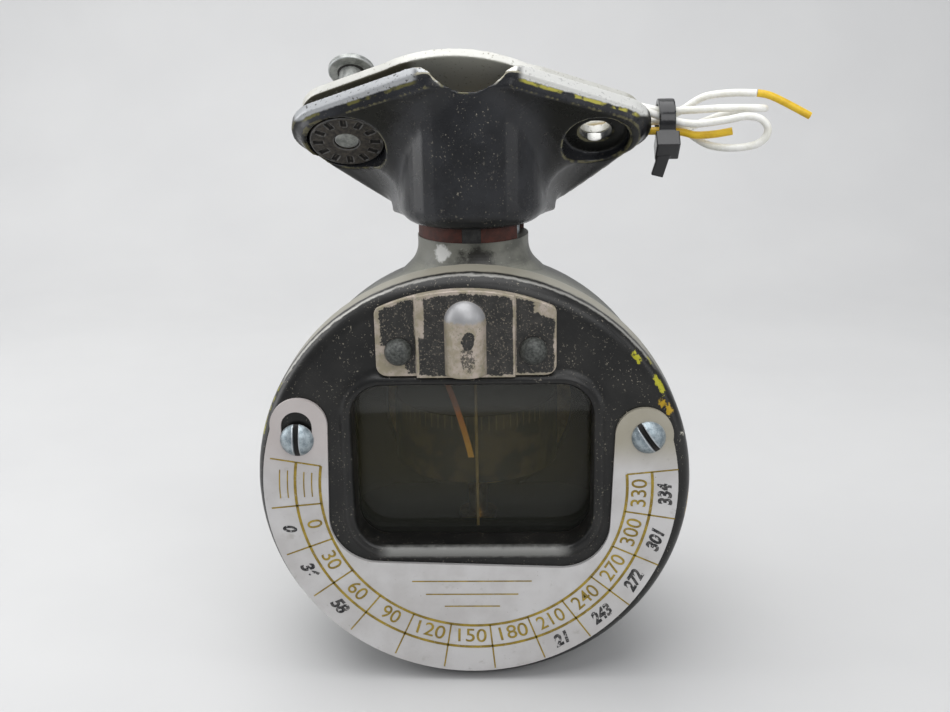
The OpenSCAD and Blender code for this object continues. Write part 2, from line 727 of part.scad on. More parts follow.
// Case
module neck_shape() {
    top = neck_up - case_drop;
    r = neck_d / 2;
    low = case_r - case_drop - neck_blend_r / 2;
    skirt_r = swivel_depth - bezel_depth - free;
    bend_end = [r, low] + neck_blend_r * [1 - cos(45), 1 - sin(45)];
    skirt_low = bend_end[1] - (skirt_r - bend_end[0]);
    rotate_extrude() polygon(concat([[0, top], [r, top]],
        arc([r + neck_blend_r, low + neck_blend_r], neck_blend_r, 180, 225, 8),
        [[skirt_r, skirt_low], [skirt_r, skirt_low - 2], [0, skirt_low - 2]]));
}
module case_outside() {
    turned(concat([[0, bezel_depth], [case_r, bezel_depth]],
        shoulder(shoulder_r, 0, shoulder_end, 20), [[0, case_depth]]));
}
module face_hole(x, up, d, from, to) {
    at_face(to) translate([x, up, 0]) cylinder(d = d, h = to - from);
}
module bezel_screw_holes(d, from, to) {
    for (a = bezel_screw_angles)
        face_hole(bezel_screw_r * cos(a), bezel_screw_r * sin(a), d, from, to);
}
module case() {
    color([0.2, 0.2, 0.19]) difference() {
        union() {
            difference() {
                union() {
                    case_outside();
                    neck_shape();
                }
                difference() {
                    hollow(bowl_front);
                    above_case(floor_top, true);
                }
                difference() {
                    hollow(bezel_depth - eps);
                    above_case(floor_top - floor_t);
                }
            }
            at_face(conduit_end) translate([-conduit_w / 2, conduit_up - conduit_w / 2, 0])
                cube([conduit_w, case_r - conduit_up, conduit_end - bowl_front + eps]);
        }
        at_face(bowl_front + eps) linear_extrude(front_plate_t + 1)
            translate([0, window_up]) rounded(window_w + 2, window_h + 2, window_corner_r + 1);
        at_face(bezel_depth + gasket_t) linear_extrude(gasket_t + 1) translate([0, window_up])
            rounded(window_w + 2 * glass_margin, window_h + 2 * glass_margin, window_corner_r);
        at_face(case_depth + 1) cylinder(r = rear_bore_r, h = rear_flange_t + 2);
        for (i = [0:rear_screw_count - 1])
            at_face(case_depth + 1) rotate([0, 0, 60 * i + 30]) translate([rear_screw_r, 0, 0])
                cylinder(d = rear_screw_d + 2 * fit, h = rear_flange_t);
        translate([0, 0, stem_bottom]) cylinder(d = stem_d + 2 * fit, h = big);
        translate([0, 0, conduit_up - case_drop]) cylinder(d = stem_bore_d, h = big);
        face_hole(0, conduit_up, conduit_d, bezel_depth - 1, swivel_depth);
        at_ring_angle(stop_pin_angle, stop_pin_r) translate([0, 0, neck_top - stop_pin_sunk])
            cylinder(d = stop_pin_d + 2 * fit, h = big);
        for (s = [-1, 1])
            face_hole(s * plate_screw_x, plate_screw_up, plate_screw_d + 2 * fit,
                bezel_depth - 1, screw_reach);
        bezel_screw_holes(bezel_screw_d + 2 * fit, bezel_depth - 1, screw_reach);
        at_filler(-case_wall - 2) cylinder(d = filler_d + 2 * fit, h = big);
        at_filler(-filler_flat) cylinder(d = filler_head_d + 1.6, h = big);
        translate([0, east_front - swivel_depth, shaft_up - case_drop]) rotate([0, 90, 0])
            cylinder(r = access_r, h = big);
    }
}

// Filling hole on the right of the barrel
filler_d = 4;
filler_head_d = 7;
filler_head_h = 1.6;
filler_washer_t = 0.5;
filler_depth = 21;
filler_flat = 0.6;
module at_filler(out) {
    translate([case_r + out, filler_depth - swivel_depth, -case_drop]) rotate([0, 90, 0]) children();
}
module filler_washer() {
    color([0.55, 0.42, 0.22]) difference() {
        at_filler(-filler_flat) cylinder(d = filler_head_d, h = filler_washer_t);
        at_filler(-big / 2) cylinder(d = filler_d + 2 * fit, h = big);
    }
}
module filler_plug() {
    color([0.6, 0.5, 0.3]) at_filler(filler_washer_t - filler_flat)
        slotted_screw(filler_head_d, filler_head_h, filler_d,
            case_wall + filler_washer_t - filler_flat, 0);
}

// Bezel and window
module bezel() {
    color([0.16, 0.16, 0.17]) difference() {
        union() {
            turned(concat([[0, 0]], [for (p = arc([bezel_r - bezel_edge_r, -bezel_edge_r],
                bezel_edge_r, 90, 0, 8)) [p[0], -p[1]]], [[bezel_r, bezel_depth], [0, bezel_depth]]));
            at_face(0) translate([0, window_up, 0])
                bead(window_w + 2 * lip_out, window_h + 2 * lip_out, window_corner_r + lip_out, lip_r);
        }
        at_face(bezel_depth + 1) linear_extrude(bezel_depth + 1 + 2 * lip_r)
            translate([0, window_up]) rounded(window_w, window_h, window_corner_r);
        at_face(bezel_depth + 1) linear_extrude(bezel_depth + 1 - glass_depth)
            translate([0, window_up]) rounded(window_w + 2 * glass_margin + 2 * fit,
                window_h + 2 * glass_margin + 2 * fit, window_corner_r);
        at_face(0) translate([lamp_shift - cover_w / 2 - free, cover_bottom - free, 0])
            cube([cover_w + 2 * free, bezel_r, 3 * lip_r]);
        for (s = [-1, 1]) {
            face_hole(s * plate_screw_x, plate_screw_up, plate_screw_d + 2 * fit, -1, bezel_depth + 1);
            face_hole(lamp_shift + s * cover_screw_x, cover_screw_up, cover_screw_d + 2 * fit, -1,
                cover_screw_l + 1);
        }
        bezel_screw_holes(bezel_screw_d + 2 * fit, -1, bezel_depth + 1);
        bezel_screw_holes(bezel_screw_head_d + 2 * fit, -1, bezel_screw_head_h);
        at_lamp(0) housing(housing_w / 2 - cover_t, free);
        face_hole(lamp_shift, conduit_up, conduit_d, -1, bezel_depth + 1);
        face_hole(-north_x, shaft_up, 2 * access_r, -1, bezel_depth + 1);
    }
}
module window_glass() {
    color([0.2, 0.22, 0.22, 0.5]) at_face(glass_depth + glass_t) linear_extrude(glass_t)
        translate([0, window_up]) rounded(window_w + 2 * glass_margin, window_h + 2 * glass_margin,
            window_corner_r);
}
module glass_gasket() {
    back = bezel_depth + gasket_t;
    color([0.08, 0.08, 0.08]) at_face(back) linear_extrude(back - glass_depth - glass_t)
        translate([0, window_up]) difference() {
            rounded(window_w + 2 * glass_margin - 2 * fit, window_h + 2 * glass_margin - 2 * fit,
                window_corner_r);
            rounded(window_w + 2 * glass_margin - 2 * gasket_w,
                window_h + 2 * glass_margin - 2 * gasket_w, window_corner_r - 1);
        }
}
module lubber_line() {
    color([0.75, 0.6, 0.2]) at_face(lubber_depth) translate([0.5, window_low - 0.4, 0])
        rotate([-90, 0, 0]) cylinder(r = lubber_r, h = window_h + 0.8, $fn = 16);
}
module pointer_strip() {
    middle = [0, window_up];
    path = bend([0, window_high] + pointer_top, middle + pointer_bend, middle + pointer_tip, 8);
    color([0.85, 0.35, 0.08]) at_face(lubber_depth + lubber_r) linear_extrude(2 * lubber_r)
        polygon(concat([for (p = path) p - [pointer_w / 2, 0]],
            [for (i = [len(path) - 1:-1:0]) path[i] + [pointer_w / 2, 0]]));
}

// Correction plate
module correction_plate() {
    cut_h = big / 2;
    lobe_r = lobe_w / 2;
    color([0.75, 0.74, 0.71]) at_face(0) linear_extrude(plate_t) difference() {
        translate([plate_shift, 0]) rotate(plate_turn) difference() {
            union() {
                intersection() {
                    circle(d = plate_d, $fn = 128);
                    translate([-big / 2, lobe_up - big]) square(big);
                }
                for (s = [-1, 1]) translate([s * (plate_cut_w / 2 + lobe_r), lobe_up]) circle(lobe_r);
            }
            translate([0, cut_h / 2 - plate_cut_down]) rounded(plate_cut_w, cut_h, plate_cut_r);
        }
        translate([plate_screw_x, plate_screw_up]) circle(d = plate_screw_d + 2 * fit);
        for (k = [0, slot_travel])
            translate([-plate_screw_x, plate_screw_up + k]) circle(d = plate_screw_d + 2 * slot_room);
        translate([-plate_screw_x - plate_screw_d / 2 - slot_room, plate_screw_up])
            square([plate_screw_d + 2 * slot_room, slot_travel]);
        translate([0, window_up]) rounded(window_w + 2 * bead_reach, window_h + 2 * bead_reach,
            window_corner_r + bead_reach);
    }
}
module plate_screws() {
    color([0.5, 0.53, 0.55]) for (s = [-1, 1])
        at_face(-plate_t) translate([s * plate_screw_x, plate_screw_up, 0])
            slotted_screw(plate_screw_head_d, plate_screw_head_h, plate_screw_d,
                plate_t + screw_reach - 0.5, s > 0 ? 35 : 0, plate_slot_deep);
}
module bezel_screws() {
    color([0.5, 0.5, 0.5]) for (a = bezel_screw_angles)
        at_face(bezel_screw_head_h) translate([bezel_screw_r * cos(a), bezel_screw_r * sin(a), 0])
            difference() {
                union() {
                    cylinder(d = bezel_screw_head_d, h = bezel_screw_head_h - 0.1);
                    translate([0, 0, bezel_screw_head_h - screw_reach + 0.5])
                        cylinder(d = bezel_screw_d, h = screw_reach - bezel_screw_head_h - 0.5 + eps);
                }
                translate([0, 0, bezel_screw_head_h]) cube([0.8, big, 1.4], center = true);
            }
}

// Lamp at the top of the bezel
module at_lamp(depth) {
    at_face(depth) translate([lamp_shift, 0, 0]) children();
}
module cover_outline() {
    low = [cover_w / 2 - cover_corner_r, cover_bottom + cover_corner_r];
    x = cover_w / 2 - cover_top_corner_r;
    y = sqrt(pow(cover_top_r - cover_top_corner_r, 2) - x * x);
    a = atan2(y, x);
    polygon(concat(arc([-low[0], low[1]], cover_corner_r, 180, 270, 6),
        arc(low, cover_corner_r, 270, 360, 6), arc([x, y], cover_top_corner_r, 0, a, 6),
        arc([0, 0], cover_top_r, a, 180 - a, 24),
        arc([-x, y], cover_top_corner_r, 180 - a, 180, 6)));
}
module housing(r, below = 0) {
    translate([0, cover_bottom - below, housing_out])
        rotate([-90, 0, 0]) cylinder(r = r, h = housing_end_up - cover_bottom + below);
    translate([0, housing_end_up, housing_out]) sphere(r);
}
module lamp_cover() {
    r = housing_w / 2;
    color([0.3, 0.29, 0.27]) difference() {
        at_lamp(0) {
            linear_extrude(cover_t) cover_outline();
            linear_extrude(2 * cover_t) intersection() {
                cover_outline();
                translate([-cover_step_w / 2, 0]) square([cover_step_w, big]);
            }
            intersection() {
                housing(r, -hood_lift);
                linear_extrude(big) translate([-big / 2, 0]) square(big);
            }
        }
        at_lamp(0) housing(r - cover_t, 1);
        at_lamp(0) translate([cover_t - cover_step_w / 2, cover_bottom - 1, -1])
            cube([cover_step_w - 2 * cover_t, housing_end_up - cover_bottom, 1 + cover_t]);
        for (s = [-1, 1])
            face_hole(lamp_shift + s * cover_screw_x, cover_screw_up, cover_screw_d + 2 * fit,
                -big / 4, 1);
    }
}
module cover_screws() {
    color([0.24, 0.27, 0.25]) for (s = [-1, 1])
        at_lamp(-cover_t) translate([s * cover_screw_x, cover_screw_up, 0]) {
            dome_head(cover_screw_head_d, cover_dome_h);
            translate([0, 0, -cover_t - cover_screw_l])
                cylinder(d = cover_screw_d, h = cover_t + cover_screw_l + eps);
        }
}
module lamp_bulb() {
    color([0.95, 0.92, 0.8, 0.6]) at_lamp(-housing_out) {
        translate([0, cover_bottom + bulb_low, 0]) sphere(bulb_r);
        translate([0, cover_bottom + bulb_low, 0]) rotate([-90, 0, 0])
            cylinder(r = bulb_r, h = bulb_base - cover_bottom - bulb_low);
    }
}
module lamp_holder() {
    color([0.62, 0.5, 0.26]) {
        at_lamp(-housing_out) translate([0, bulb_base, 0]) rotate([-90, 0, 0])
            cylinder(r = holder_r, h = conduit_up - bulb_base);
        face_hole(lamp_shift, conduit_up, conduit_d - 2 * fit, -housing_out, holder_deep);
    }
}
module lamp_lead() {
    color([0.9, 0.88, 0.82]) tube(lamp_lead_route, wire_d, 3);
}

// Back of the case
module rear_diaphragm() {
    rings = [for (i = [1:4]) i * rear_bore_r / 5];
    color([0.66, 0.5, 0.3]) difference() {
        union() {
            at_face(case_depth + diaphragm_t) cylinder(r = rear_r - 0.4, h = diaphragm_t);
            for (r = rings)
                at_face(case_depth + diaphragm_t) rotate_extrude() translate([r, 0])
                    intersection() {
                        circle(ripple_r);
                        translate([-big / 2, -big]) square([big, big + eps]);
                    }
        }
        for (r = rings)
            at_face(case_depth) rotate_extrude() translate([r, 0]) intersection() {
                circle(ripple_r - diaphragm_t / 2);
                translate([-big / 2, -big]) square([big, big + eps]);
            }
        rear_holes(case_depth - 1);
    }
}
module rear_holes(depth) {
    for (i = [0:rear_screw_count - 1])
        at_face(depth + 40) rotate([0, 0, 60 * i + 30]) translate([rear_screw_r, 0, 0])
            cylinder(d = rear_screw_d + 2 * fit, h = 40);
}
module rear_cover() {
    front = case_depth + diaphragm_t;
    dish_r = rear_bore_r + 0.6;
    round_r = rear_cover_t + 1;
    color([0.2, 0.2, 0.19]) difference() {
        turned(concat([[0, front], [rear_r, front], [rear_r, front + rear_cover_t],
            [dish_r, front + rear_cover_t]],
            [for (p = arc([dish_r - round_r, round_r - rear_dish_h], round_r, 0, -90, 8))
                [p[0], front - p[1]]],
            [[0, front + rear_dish_h]]));
        turned([[0, front - 1], [rear_bore_r - 1, front - 1],
            [rear_bore_r - 1, front + rear_dish_h - rear_cover_t],
            [0, front + rear_dish_h - rear_cover_t]]);
        rear_holes(front - 1);
        face_hole(0, 0, 2, front, front + rear_dish_h + 1);
    }
}
module rear_screws() {
    top = case_depth + diaphragm_t + rear_cover_t;
    color([0.5, 0.5, 0.48]) for (i = [0:rear_screw_count - 1])
        at_face(top) rotate([0, 180, 60 * i + 30]) translate([-rear_screw_r, 0, 0])
            slotted_screw(rear_screw_d * 1.7, 1.3, rear_screw_d,
                rear_cover_t + diaphragm_t + rear_flange_t - 1.5, 20 * i);
}

// Card on its pivot, turning about the swivel axis
module at_card(up) {
    translate([0, 0, up - case_drop]) children();
}
module pivot_post() {
    color([0.62, 0.5, 0.26]) {
        at_card(floor_top) cylinder(r = post_foot_r, h = post_foot_h);
        at_card(floor_top) cylinder(r = post_stem_r, h = post_top - floor_top);
    }
}
module jewel_cup() {
    color([0.7, 0.1, 0.2]) difference() {
        at_card(post_top) cylinder(r = jewel_r, h = jewel_top - post_top);
        at_card(jewel_top - 0.5) cylinder(r1 = 0.01, r2 = 0.9, h = 0.52);
    }
}
module card_dial() {
    color([0.07, 0.07, 0.07]) difference() {
        at_card(card_low) cylinder(r = card_r, h = card_h);
        at_card(card_low - 1) cylinder(r = card_r - card_wall, h = card_h - card_wall + 1);
        at_card(card_low) cylinder(r = hub_r + fit, h = big);
    }
}
module card_float() {
    color([0.3, 0.28, 0.2]) difference() {
        union() {
            at_card(float_low) cylinder(r = float_r, h = card_top - card_wall - float_low);
            at_card(float_low) cylinder(r = hub_r, h = card_top - float_low);
        }
        at_card(float_low - 1) cylinder(r = float_cup_r, h = float_cup_top - float_low + 1);
        at_card(float_low) cylinder(r = needle_r + fit, h = big);
        for (s = [-1, 1])
            at_card(float_low - magnet_rod_r / 2) translate([s * magnet_rod_x, 0, 0])
                rotate([90, 0, 0]) cylinder(r = magnet_rod_r + fit, h = big, center = true);
    }
}
module card_magnets() {
    color([0.4, 0.4, 0.42]) for (s = [-1, 1])
        at_card(float_low - magnet_rod_r / 2) translate([s * magnet_rod_x, 0, 0])
            rotate([90, 0, 0]) cylinder(r = magnet_rod_r, h = magnet_rod_l, center = true);
}
module pivot_needle() {
    cone = 1;
    color([0.75, 0.75, 0.76]) {
        at_card(needle_tip) cylinder(r1 = 0.05, r2 = needle_r, h = cone);
        at_card(needle_tip + cone - eps) cylinder(r = needle_r, h = 4);
    }
}

// Compensator: two pairs of geared magnet shafts in the dry room under the bowl
module at_north(side, depth) {
    at_face(depth) translate([side * north_x, shaft_up, 0]) children();
}
module at_east(row, x) {
    translate([x, east_front + row * shaft_pitch - swivel_depth, shaft_up - case_drop])
        rotate([0, 90, 0]) children();
}
north_gear_depth = north_room[0] + 4;
north_magnet_depth = north_room[1] - 3.2;
north_front = 1.5;
north_back = north_room[1] + 1.8;
east_gear_x = 5;
east_magnet_x = -4;
east_left = -room_half - 1.6;
east_right = 24.6;
module compensator_frame() {
    color([0.5, 0.45, 0.3]) difference() {
        intersection() {
            hollow(frame_front, free);
            above_case(floor_top - floor_t - free, true);
            at_face(frame_back) translate([-big / 2, -big / 2, 0])
                cube([big, big, frame_back - frame_front]);
        }
        at_face(north_room[1]) translate([-north_half, -big / 2, 0])
            cube([2 * north_half, big, north_room[1] - north_room[0]]);
        at_face(east_room[1]) translate([-room_half, -big / 2, 0])
            cube([2 * room_half, big, east_room[1] - east_room[0]]);
        at_north(-1, north_back + 0.2) cylinder(r = shaft_r + running, h = big);
        at_north(1, north_back + 0.2) cylinder(r = shaft_r + running, h = north_back - frame_front - 1.5);
        at_east(0, east_left - 0.2) cylinder(r = shaft_r + running, h = big);
        at_east(1, east_left - 0.2) cylinder(r = shaft_r + running, h = 0.4 - 2 * east_left);
    }
}
module north_shaft(side, front, phase) {
    difference() {
        union() {
            at_north(side, north_back) cylinder(r = shaft_r, h = north_back - front);
            at_north(side, north_gear_depth) gear(phase);
        }
        at_north(side, north_magnet_depth) cross_hole();
    }
}
module north_adjuster() {
    color([0.66, 0.55, 0.3]) difference() {
        north_shaft(-1, north_front, 0);
        at_north(-1, north_front) cube([0.8, big, 2], center = true);
    }
}
module north_adjuster_magnet() {
    color([0.4, 0.4, 0.42]) at_north(-1, north_magnet_depth) cross_magnet();
}
module north_follower() {
    color([0.66, 0.55, 0.3]) north_shaft(1, frame_front + 2, 180 / gear_teeth * (1 + gear_teeth));
}
module north_follower_magnet() {
    color([0.4, 0.4, 0.42]) at_north(1, north_magnet_depth) cross_magnet();
}
module east_shaft(row, right, phase) {
    difference() {
        union() {
            at_east(row, east_left) cylinder(r = shaft_r, h = right - east_left);
            at_east(row, east_gear_x) gear(phase);
        }
        at_east(row, east_magnet_x) cross_hole();
    }
}
module east_adjuster() {
    color([0.66, 0.55, 0.3]) difference() {
        east_shaft(0, east_right, 90);
        at_east(0, east_right) cube([0.8, big, 2], center = true);
    }
}
module east_adjuster_magnet() {
    color([0.4, 0.4, 0.42]) at_east(0, east_magnet_x) cross_magnet();
}
module east_follower() {
    color([0.66, 0.55, 0.3]) east_shaft(1, -east_left, 90 + 180 / gear_teeth * (1 + gear_teeth));
}
module east_follower_magnet() {
    color([0.4, 0.4, 0.42]) at_east(1, east_magnet_x) cross_magnet();
}

hank_step = 0.5;
echo(white_hank_least_gap = least_gap(route(white_hank_route, hank_step), wire_d, hank_step));

bracket();
clamp_cap();
clamp_screw();
clamp_spacer();
clamp_nut();
friction_ring();
ring_key();
wire_grommet();
white_hank();
white_lead();
yellow_tail();
yellow_lead();
cable_tie();
case();
swivel_screw();
wave_washer();
stop_pin();
bezel();
window_glass();
glass_gasket();
lubber_line();
pointer_strip();
correction_plate();
plate_screws();
bezel_screws();
lamp_cover();
cover_screws();
lamp_bulb();
lamp_holder();
lamp_lead();
rear_diaphragm();
rear_cover();
rear_screws();
filler_plug();
filler_washer();
pivot_post();
jewel_cup();
compensator_frame();
card_dial();
card_float();
card_magnets();
pivot_needle();
north_adjuster();
north_adjuster_magnet();
north_follower();
north_follower_magnet();
east_adjuster();
east_adjuster_magnet();
east_follower();
east_follower_magnet();
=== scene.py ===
# %% [markdown]
# # An aircraft compass, dressed for its picture
# The solids come packed in metres: a round case with a dark window hangs from a sloping clamp.
# This lesson gives them cast edges, worn paint, printed marks and wires. Each step says what
# the piece is, how it could be made, and why this way was taken.

# %% Load the solids
import functools
import json
import math
import operator

import bmesh
import bpy
import numpy as np
from mathutils import Matrix, Vector


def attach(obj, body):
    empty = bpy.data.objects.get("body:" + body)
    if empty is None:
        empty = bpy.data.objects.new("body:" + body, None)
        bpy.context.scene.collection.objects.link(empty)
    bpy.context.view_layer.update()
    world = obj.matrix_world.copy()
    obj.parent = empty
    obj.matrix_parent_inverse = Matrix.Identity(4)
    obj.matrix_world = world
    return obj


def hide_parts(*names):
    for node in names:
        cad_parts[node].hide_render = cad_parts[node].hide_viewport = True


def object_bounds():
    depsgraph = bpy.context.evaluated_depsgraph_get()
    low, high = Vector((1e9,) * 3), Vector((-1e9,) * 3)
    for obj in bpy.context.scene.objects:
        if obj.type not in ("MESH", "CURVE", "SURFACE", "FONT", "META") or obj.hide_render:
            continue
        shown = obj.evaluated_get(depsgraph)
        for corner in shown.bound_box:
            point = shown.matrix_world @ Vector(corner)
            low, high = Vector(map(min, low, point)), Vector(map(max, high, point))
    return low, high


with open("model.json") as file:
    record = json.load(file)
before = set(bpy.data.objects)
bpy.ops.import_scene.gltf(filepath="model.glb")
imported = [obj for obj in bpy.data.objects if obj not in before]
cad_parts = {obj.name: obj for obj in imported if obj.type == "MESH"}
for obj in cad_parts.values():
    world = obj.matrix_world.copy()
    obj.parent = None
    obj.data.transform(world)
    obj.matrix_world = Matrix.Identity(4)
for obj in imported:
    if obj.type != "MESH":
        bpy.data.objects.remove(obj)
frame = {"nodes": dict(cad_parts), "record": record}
solid_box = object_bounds()
nodes, record = frame["nodes"], frame["record"]
body_of = {node: body for body, held in record["behaviour"]["bodies"].items() for node in held}
MM = 0.001

# %% [markdown]
# ## Camera
# The picture looks slightly down on the compass from the front. The camera's three directions
# could be set by aiming at a target, but a small roll would be lost, so they are written out as
# the columns of its matrix. The lens is 45.5 mm on a 36 mm wide film.

# %% Camera
PICTURE_WIDTH, FOCAL_LENGTH = 950, 1200  # in pixels
FILM_WIDTH = 36
CAMERA_PLACE = Vector((7.65, -237.9, 27.4))
right = Vector((0.99947, 0.02683, -0.01832))
down = Vector((-0.00944, -0.29955, -0.95403))
ahead = Vector((-0.03109, 0.9537, -0.29914))


def put(name, data):
    """A new object of the scene, with that mesh, curve, lamp or camera."""
    made = bpy.data.objects.new(name, data)
    bpy.context.scene.collection.objects.link(made)
    return made


lens = bpy.data.cameras.new("picture_camera")
lens.sensor_width = FILM_WIDTH
lens.lens = FOCAL_LENGTH / PICTURE_WIDTH * FILM_WIDTH
lens.clip_start = 0.01
camera = put("picture_camera", lens)
turn = Matrix((right, -down, -ahead)).transposed().to_4x4()
camera.matrix_world = Matrix.Translation(CAMERA_PLACE * MM) @ turn
bpy.context.scene.camera = camera
print("camera looks along", [round(v, 3) for v in ahead])

# %% [markdown]
# ## Wires
# Three thin insulated wires leave a rubber ring behind the right ear, run to a black tie and end
# in a small folded hank. A simulation could drop them, but they would not fall as in the picture,
# so each is a curve through the same points as its solid, which keeps the strands clear of each
# other. The points are in millimetres.

# %% Routes of the wires
wire_routes = {
    "white_hank": [(11.5, 6.2, -7.6), (14.7, 7.6, -5.7), (18.4, 9.2, -3.6), (25, 9.6, -1.9),
        (32, 6.8, -2), (38.3, 4.5, -2), (42, 5.8, -2.2), (45.5, 7.2, -1), (50, 7.3, 0.6),
        (54.4, 6.7, 1.8), (56.8, 5.7, 2), (57.8, 3.7, 2.2), (56.8, 1.7, 2.4), (54.4, 0.8, 2.6),
        (49, 1.2, 2.6), (43.5, 2.6, 2.2), (38.3, 3.8, 2), (35.2, 5, 2.4), (33.2, 6.5, 2.8),
        (31.2, 6.8, 3.2), (29.5, 5.3, 3.6), (29.7, 3.2, 3.8), (31.6, 1.9, 3.5), (34.6, 1.6, 2.2),
        (38.3, 1.6, 0.7), (43.5, 0.1, -0.2), (49.5, -1.2, 0.6), (53.2, -1.8, 1.3),
        (55.9, -2, 0.8), (57.4, -2, -0.9), (57, -1.9, -2.9), (54.9, -1.5, -4.3),
        (51, -0.6, -4.9), (47, 1.2, -4.6), (44.2, 3.1, -3.2), (41.6, 3.5, -1.1),
        (38.3, 3.5, -0.1), (35.6, 3.5, 0)],
    "yellow_tail": [(56.2, 3.5, 5.2), (58.6, 3.2, 4.7), (62, 2.9, 3.1), (66.5, 2.6, 0.7)],
    "white_lead": [(11.2, 4.9, -6.2), (14.4, 6.3, -4.1), (18, 7.8, -2), (25, 7.8, -0.3),
        (31.6, 6.5, 0.2), (38.3, 5.5, 0.3), (42, 5.8, 2), (46, 5.4, 4.4), (51, 4.4, 5.2),
        (56, 3.5, 5.2)],
    "yellow_lead": [(12.3, 4.4, -7.6), (15.6, 5.8, -5.7), (19.2, 7.2, -3.7), (25, 7.2, -2.3),
        (29, 5.9, -1.9), (32.5, 3.9, -1.9), (35.2, 2.7, -1.8), (38.3, 2, -1.7), (41.6, 1.7, -2),
        (44, 1, -2.5), (47.5, 0.4, -2.3), (51, 0, -1.7)],
}
print({strand: len(route) for strand, route in wire_routes.items()}, "points")

# %% [markdown]
# A curve with a round bevel is a tube. The bevel is 1 here, and each point's radius gives the
# sleeve its thickness, because Blender measures the curve's box with that radius. The yellow tail
# is a sleeve on the end of the white lead, so it belongs to that cord.

# %% Tubes along smooth lines
WIRE_D = 1.5


def smooth_line(points, steps=8):
    """A smooth line through the points, with some steps between each two of them."""
    points = [Vector(p) * MM for p in points]
    last = len(points) - 1
    line = []
    for i in range(last):
        a, b, c, d = points[max(i - 1, 0)], points[i], points[i + 1], points[min(i + 2, last)]
        for k in range(steps):
            t = k / steps
            line.append(0.5 * (2 * b + (c - a) * t + (2 * a - 5 * b + 4 * c - d) * t * t
                + (3 * b - a - 3 * c + d) * t ** 3))
    return line + [points[last]]


def lay_wire(name, line):
    """A tube along a line."""
    curve = bpy.data.curves.new(name, "CURVE")
    curve.dimensions = "3D"
    curve.bevel_depth = 1
    curve.bevel_resolution = 5
    curve.use_fill_caps = True
    spline = curve.splines.new("POLY")
    spline.points.add(len(line) - 1)
    for point, place in zip(spline.points, line):
        point.co = (*place, 1)
        point.radius = WIRE_D / 2 * MM
    return put(name, curve)


print("sleeves are", WIRE_D, "mm thick")

# %% Lay the wires
wires = {}
for strand, route in wire_routes.items():
    line = smooth_line(route)
    length = sum((b - a).length for a, b in zip(line, line[1:]))
    wire = wires[strand] = lay_wire(strand + "_wire", line)
    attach(wire, "bracket")
    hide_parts(strand)
    print(wire.name, round(length / MM, 1), "mm long")

# %% [markdown]
# ## Writing materials as sums
# A worn finish is a stack of masks: noise, edges, spots. Wiring them by hand gets long, so one
# small class wraps a socket. Its operators add Math nodes, `|` takes the larger of two masks, and
# `node` makes any other node from its type, its settings and the values of its sockets.

# %% Sockets that can be added up
MIX_FACTOR, MIX_BELOW, MIX_ABOVE, MIX_RESULT = 0, 6, 7, 2  # a Mix node's sockets for colours


def fill(tree, node, values):
    """Sets a node's sockets to numbers and colours, or links them to masks."""
    for key, value in values.items():
        if isinstance(value, Mask):
            tree.links.new(value.socket, node.inputs[key])
        else:
            node.inputs[key].default_value = value


class Mask:
    """A socket of a material, so that a mask can be written as a sum."""

    def __init__(self, tree, socket):
        self.tree, self.socket = tree, socket

    def node(self, kind, settings=None, values=None, pick=0):
        """Adds a node, with its settings first and then its sockets, and gives one output."""
        made = self.tree.nodes.new("ShaderNode" + kind)
        for key, value in (settings or {}).items():
            setattr(made, key, value)
        fill(self.tree, made, values or {})
        return Mask(self.tree, made.outputs[pick])

    def maths(self, operation, *values):
        return self.node("Math", {"operation": operation}, dict(enumerate(values)))

    def __add__(self, other):
        return self.maths("ADD", self, other)

    def __sub__(self, other):
        return self.maths("SUBTRACT", self, other)

    def __rsub__(self, other):
        return self.maths("SUBTRACT", other, self)

    def __mul__(self, other):
        return self.maths("MULTIPLY", self, other)

    def __truediv__(self, other):
        return self.maths("DIVIDE", self, other)

    def __pow__(self, other):
        return self.maths("POWER", self, other)

    def __or__(self, other):
        return self.maths("MAXIMUM", self, other)

    def __abs__(self):
        return self.maths("ABSOLUTE", self)

    __radd__ = __add__
    __rmul__ = __mul__

    def rise(self, low, high):
        """0 below low and 1 above high, with a soft step between."""
        return self.node("MapRange", {"interpolation_type": "SMOOTHSTEP"},
            {"Value": self, "From Min": low, "From Max": high})

    def mix(self, below, above):
        """One colour where the mask is 0, the other where it is 1."""
        return self.node("Mix", {"data_type": "RGBA"},
            {MIX_FACTOR: self, MIX_BELOW: below, MIX_ABOVE: above}, MIX_RESULT)


print("mask sums ready")

# %% [markdown]
# Every finish starts from the place on the part in millimetres, so that lumps of noise can be
# given in real sizes, and ends by filling the sockets of Blender's main shader.

# %% Start and end of a finish
def new_finish(name):
    """A material, and the place on the part in millimetres."""
    material = bpy.data.materials.new(name)
    material.use_nodes = True
    tree = material.node_tree
    metres = Mask(tree, tree.nodes.new("ShaderNodeTexCoord").outputs["Object"])
    return material, metres.node("VectorMath", {"operation": "SCALE"},
        {0: metres, "Scale": 1 / MM})


def noise(place, size, detail=3.0, rough=0.55):
    """Noise with lumps of about that size in millimetres."""
    return place.node("TexNoise", None, {"Vector": place, "Scale": 1 / size, "Detail": detail,
        "Roughness": rough})


def grain(place, height, depth, strength):
    """Bumps of that depth in millimetres."""
    return place.node("Bump", None, {"Height": height, "Distance": depth * MM,
        "Strength": strength})


def dress(material, values):
    """Fills the main shader's sockets."""
    fill(material.node_tree, material.node_tree.nodes["Principled BSDF"], values)
    return material


print("finishes can be started")

